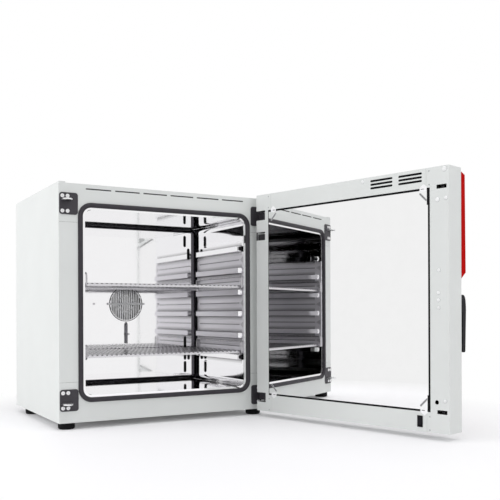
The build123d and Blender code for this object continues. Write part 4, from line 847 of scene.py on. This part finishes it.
def fan_guard():
    """The fan's guard: upright bars of half-round section, each as long as the circle allows, a
    thin outer ring, a broken inner ring of short lugs and one level strap."""
    bar_count, lug_count, ring_sides = 17, 20, 64
    on_guard = level_with(Y_BAFFLE, -1, X_FAN, Z_CHAMBER)
    across = (np.arange(bar_count) - bar_count // 2) * 0.007
    half = np.sqrt(0.0612**2 - across**2)
    section = np.array([(-1.5, 0), (-1.3, 1.7), (-0.9, 2.2), (0.9, 2.2), (1.3, 1.7), (1.5, 0)]) * mm
    ends, swell = np.array([-1, -1, 1, 1]), np.array([0, 1, 1, 0])[:, None]
    bars = np.zeros((bar_count, len(ends), len(section), 3))
    bars[..., 0] = X_FAN + (across[:, None, None] + section[:, 0] * swell)
    bars[..., 1] = Y_BAFFLE - 0.0002 - section[:, 1] * swell
    bars[..., 2] = Z_CHAMBER + (half[:, None] * ends)[..., None]
    one = quads_of(len(ends), len(section), close_columns=True)
    quads = np.concatenate([one + i * len(ends) * len(section) for i in range(bar_count)])
    guard = outward(mesh_from("fan_guard_bars", bars, quads, guard_steel, "cabinet", smooth=False))
    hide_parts("fan_grille")
    lug = stadium(0.0070, 0.0040, 3, standing=True) + np.array([0.029, 0])
    slabs = []
    for step in range(lug_count):
        angle = (step + 0.5) * np.pi / (lug_count / 2)
        c, s = np.cos(angle), np.sin(angle)
        slabs.append(slab(lug @ np.array([[c, s], [-s, c]]), 0.0004, 0.0034, 0.0004))
    slabs.append(slab(stadium(0.138, 0.0072, 5), 0.0003, 0.0030, 0.0006))
    piece = plates_piece("fan_guard_strap", slabs, plug_white, "cabinet", on_guard)
    radii, heights = np.array([(60.5, 0), (60.5, 1.8), (61.7, 2.4), (62.8, 1.8), (62.8, 0)]).T * mm
    ring = on_guard(turned(radii, heights, ring_sides).reshape(-1, 3))
    quads = quads_of(len(radii), ring_sides, close_rows=True, close_columns=True)
    piece = outward(mesh_from("fan_guard_ring", ring, quads, blued_steel, "cabinet"))


def catch_blades():
    """The two catches as ground steel blades: the outline of a pointed tongue with its eye, a ring
    of outer and inner corners carried over the blade's thickness."""
    outer = np.array([(13.65, 0), (13.65, -19.1), (4.6, -28.15), (-4.6, -28.15), (-13.65, -19.1),
                      (-13.65, 0), (-6, 0), (6, 0)]) * mm
    eye = np.array([(6, -11.5), (6, -20), (6, -22.5), (-6, -22.5), (-6, -20), (-6, -11.5),
                    (-5, -11.5), (5, -11.5)]) * mm
    face, flank = 0.00265, 0.0021
    loops = [(eye, -face), (outer, -flank), (outer, flank), (outer * [0.98, 0.985], face),
             (eye, face)]
    blade = np.array([np.insert(loop, 2, height, axis=1) for loop, height in loops])
    places = [np.array([-0.3335, Y_PLATE, z]) for z in (0.0774, 0.6804)]
    points = np.concatenate([blade.reshape(-1, 3) + place for place in places])
    one = quads_of(*blade.shape[:2], close_rows=True, close_columns=True)
    quads = np.concatenate([one, one + blade.shape[0] * blade.shape[1]])
    blades = outward(mesh_from("catch_blades", points, quads, blade_steel, "cabinet", smooth=False))


def vent_backings():
    """Painted shade behind each air slot of the cabinet and the door, as dark plates set just under the
    sheet; and a dark plate of painted shade in the cable guide's pocket, on the door's inner face beside the arm."""
    # painted shade: dark plates behind the air slots
    slots = [stadium(0.0806, 0.0037, at=((i - 2.5) * 0.0928, 0.7175)) for i in range(6)]
    slabs = [slab(slot, -0.0012, -0.0004, 0.0001) for slot in slots]
    piece = plates_piece("front_vent_gauze", slabs, vent_grey, "cabinet", level_with(Y_FRONT))
    slots = [stadium(0.0752, 0.0060, at=(-0.2367 + i * 0.0945, 0.7124 + j * 0.0103))
             for i in range(2) for j in (-1, 0, 1)]
    slabs = [slab(slot, -0.0012, 0.0001, 0.0001) for slot in slots]
    piece = plates_piece("door_vent_gauze", slabs, soft_black, "door", on_door_inside)
    guide_low, guide_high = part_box("cable_guide")
    z_guide, half = (guide_low[2] + guide_high[2]) / 2, 0.0130
    # painted shade: a dark plate where the cable guide's pocket opens in the door's inner face
    pocket_shade = slab(rectangle(0.3499, 0.3549, z_guide - half, z_guide + half), -0.0003, 0.0004, 0.0001)
    dark_plate = finishes["dark_plate"]
    piece = plates_piece("cable_guide_boot", [pocket_shade], dark_plate, "door", on_door_inside)


def mirror_edging():
    """Painted shade in the gap round the door's mirror: black strips along the top, bottom and latch
    side, wider at the latch corners, and a thin one at the hinge side; and the powder-coated lip of the
    frame over its outer part. Each next strip stands 0.01 mm higher."""
    strips = [(-0.3014, 0.3014, 0.6752, 0.6844), (-0.3014, 0.3014, 0.0726, 0.0802),
              (-0.3014, -0.2924, 0.0728, 0.6842), (-0.3014, -0.2892, 0.6350, 0.6842),
              (-0.3014, -0.2892, 0.0728, 0.1200), (0.2995, 0.3014, 0.0728, 0.6842)]
    lips = [(-0.3017, 0.3017, 0.6813, 0.6847), (-0.3017, 0.3017, 0.0723, 0.0747),
            (-0.3017, -0.2984, 0.0723, 0.6847)]

    def stepped(spans, height, bevel):
        return [slab(rectangle(*span), -0.0003, height + 0.00001 * i, bevel)
                for i, span in enumerate(spans)]

    # painted shade: black strips where the gap round the mirror lies in shadow
    piece = plates_piece("mirror_edging", stepped(strips, 0.00012, 0.00002), soft_black, "door",
                         on_door_inside)
    piece = plates_piece("mirror_frame_lip", stepped(lips, 0.00026, 0.00004),
                         finishes["powder_coat"], "door", on_door_inside)


def handle_ears():
    """The bearing ears each side of the handle: a plate whose outline runs round the pivot and down
    beside the lever, standing off the door skin."""
    outline = np.array([(1, 13), (8, 14), (15, 13.6), (21, 11), (25, 6), (27.4, -2), (28.8, -14),
                        (29.8, -30), (26, -36), (16, -36), (6, -30), (1, -20)]) * mm
    outline = outline + np.array([0, Z_PIVOT])
    inner, outer, bevel = 0.0141, 0.0149, 0.0004
    ears = [slab(outline, -outer, -inner, bevel), slab(outline, inner, outer, bevel)]

    def beside_lever(flat):
        x, y = X_LEVER + flat[:, 2], Y_DOOR_OUTSIDE - flat[:, 0]
        return swung(np.stack([x, y, flat[:, 1]], axis=1))

    piece = plates_piece("handle_bearing_ears", ears, finishes["dark_plastic"], "door",
                         beside_lever)


chamber_side("chamber_wall_left", -1)
chamber_side("chamber_wall_right", 1)
rear_bend()
bulb_seal()
perforated_shelf("shelf_upper", "upper_shelf")
perforated_shelf("shelf_lower", "lower_shelf")
plate_screws()
door_rivets()
door_caps()
corner_fittings()
console_face_marks()
fan_guard()
catch_blades()
vent_backings()
mirror_edging()
handle_ears()


# ------------------------------------------------------------------ studio
def white_paper():
    """Pale paper that keeps the shadow near the cabinet and runs out to plain white further off."""
    white = (1, 1, 1, 1)
    paper = Finish("studio_paper").set(Base_Color=(0.89, 0.885, 0.905, 1), Roughness=0.6)
    paper.set(Specular_IOR_Level=0.1)
    rays = paper.node("ShaderNodeLightPath").outputs
    seen = paper.worked("ShaderNodeMath", "MAXIMUM", rays["Is Camera Ray"], rays["Is Glossy Ray"])
    plain = paper.shader.outputs[0]
    glow = paper.node("ShaderNodeEmission", Color=white, Strength=0.09)
    lifted = paper.node("ShaderNodeAddShader")
    paper.link(plain, lifted.inputs[0])
    paper.link(glow.outputs[0], lifted.inputs[1])
    open_white = paper.node("ShaderNodeEmission", Color=white, Strength=1.0)
    reflected = paper.node("ShaderNodeEmission", Color=white, Strength=REFLECTED)
    horizon = paper.mix(rays["Is Camera Ray"], reflected.outputs[0], open_white.outputs[0])
    about = paper.node("ShaderNodeMapping", Vector=paper.place, Location=(-0.11, 0.34, 0.0))
    distance = paper.worked("ShaderNodeVectorMath", "LENGTH", about.outputs["Vector"])
    far = paper.spread(distance.outputs["Value"], 0.0, 1.0, 0.72, 1.2)
    shown = paper.mix(far, lifted.outputs[0], horizon)
    surface = paper.mix(seen.outputs[0], plain, shown)
    paper.link(surface, paper.tree.nodes["Material Output"].inputs["Surface"])
    return paper.material


def studio_floor():
    """A wide level floor."""
    reach = 14.0
    corners = [(-reach, -reach, 0), (reach, -reach, 0), (reach, reach, 0), (-reach, reach, 0)]
    mesh = bpy.data.meshes.new("studio_floor")
    mesh.from_pydata(corners, [], [(0, 1, 2, 3)])
    floor = bpy.data.objects.new("studio_floor", mesh)
    bpy.context.collection.objects.link(floor)
    mesh.materials.append(white_paper())


def studio_world():
    """White to the camera, nearly white in reflections, and an even fill for the light itself."""
    world = bpy.data.worlds.new("studio_world")
    bpy.context.scene.world = world
    world.use_nodes = True
    tree = world.node_tree
    rays = tree.nodes.new("ShaderNodeLightPath").outputs
    level = tree.nodes["Background"]
    level.inputs["Color"].default_value = (1, 1, 1, 1)
    level.inputs["Strength"].default_value = FILL
    for ray, strength in (("Is Glossy Ray", REFLECTED), ("Is Transmission Ray", 1.0),
                          ("Is Camera Ray", 1.0)):
        white = tree.nodes.new("ShaderNodeBackground")
        white.inputs["Color"].default_value = (1, 1, 1, 1)
        white.inputs["Strength"].default_value = strength
        choose = tree.nodes.new("ShaderNodeMixShader")
        tree.links.new(rays[ray], choose.inputs["Fac"])
        tree.links.new(level.outputs[0], choose.inputs[1])
        tree.links.new(white.outputs[0], choose.inputs[2])
        level = choose
    tree.links.new(level.outputs[0], tree.nodes["World Output"].inputs["Surface"])


def softbox(name, place, target, size, power):
    data = bpy.data.lights.new(name, "AREA")
    data.shape = "RECTANGLE"
    data.size, data.size_y = size
    data.energy = power
    lamp = bpy.data.objects.new(name, data)
    lamp.location = place
    lamp.rotation_euler = (Vector(target) - Vector(place)).to_track_quat("-Z", "Y").to_euler()
    lamp.visible_glossy = False
    bpy.context.collection.objects.link(lamp)


studio_floor()
studio_world()
softbox("left_softbox", (-3.6, 0.5, 1.6), (0, 0, 0.4), (2.4, 2.4), 62)
softbox("top_softbox", (0.3, -1.0, 3.6), (0.2, -0.2, 0.3), (3.0, 3.0), 48)
softbox("front_softbox", (0.9, -4.2, 1.6), (0.1, 0, 0.4), (2.4, 2.0), 24)
bpy.context.scene.view_settings.view_transform = "Standard"
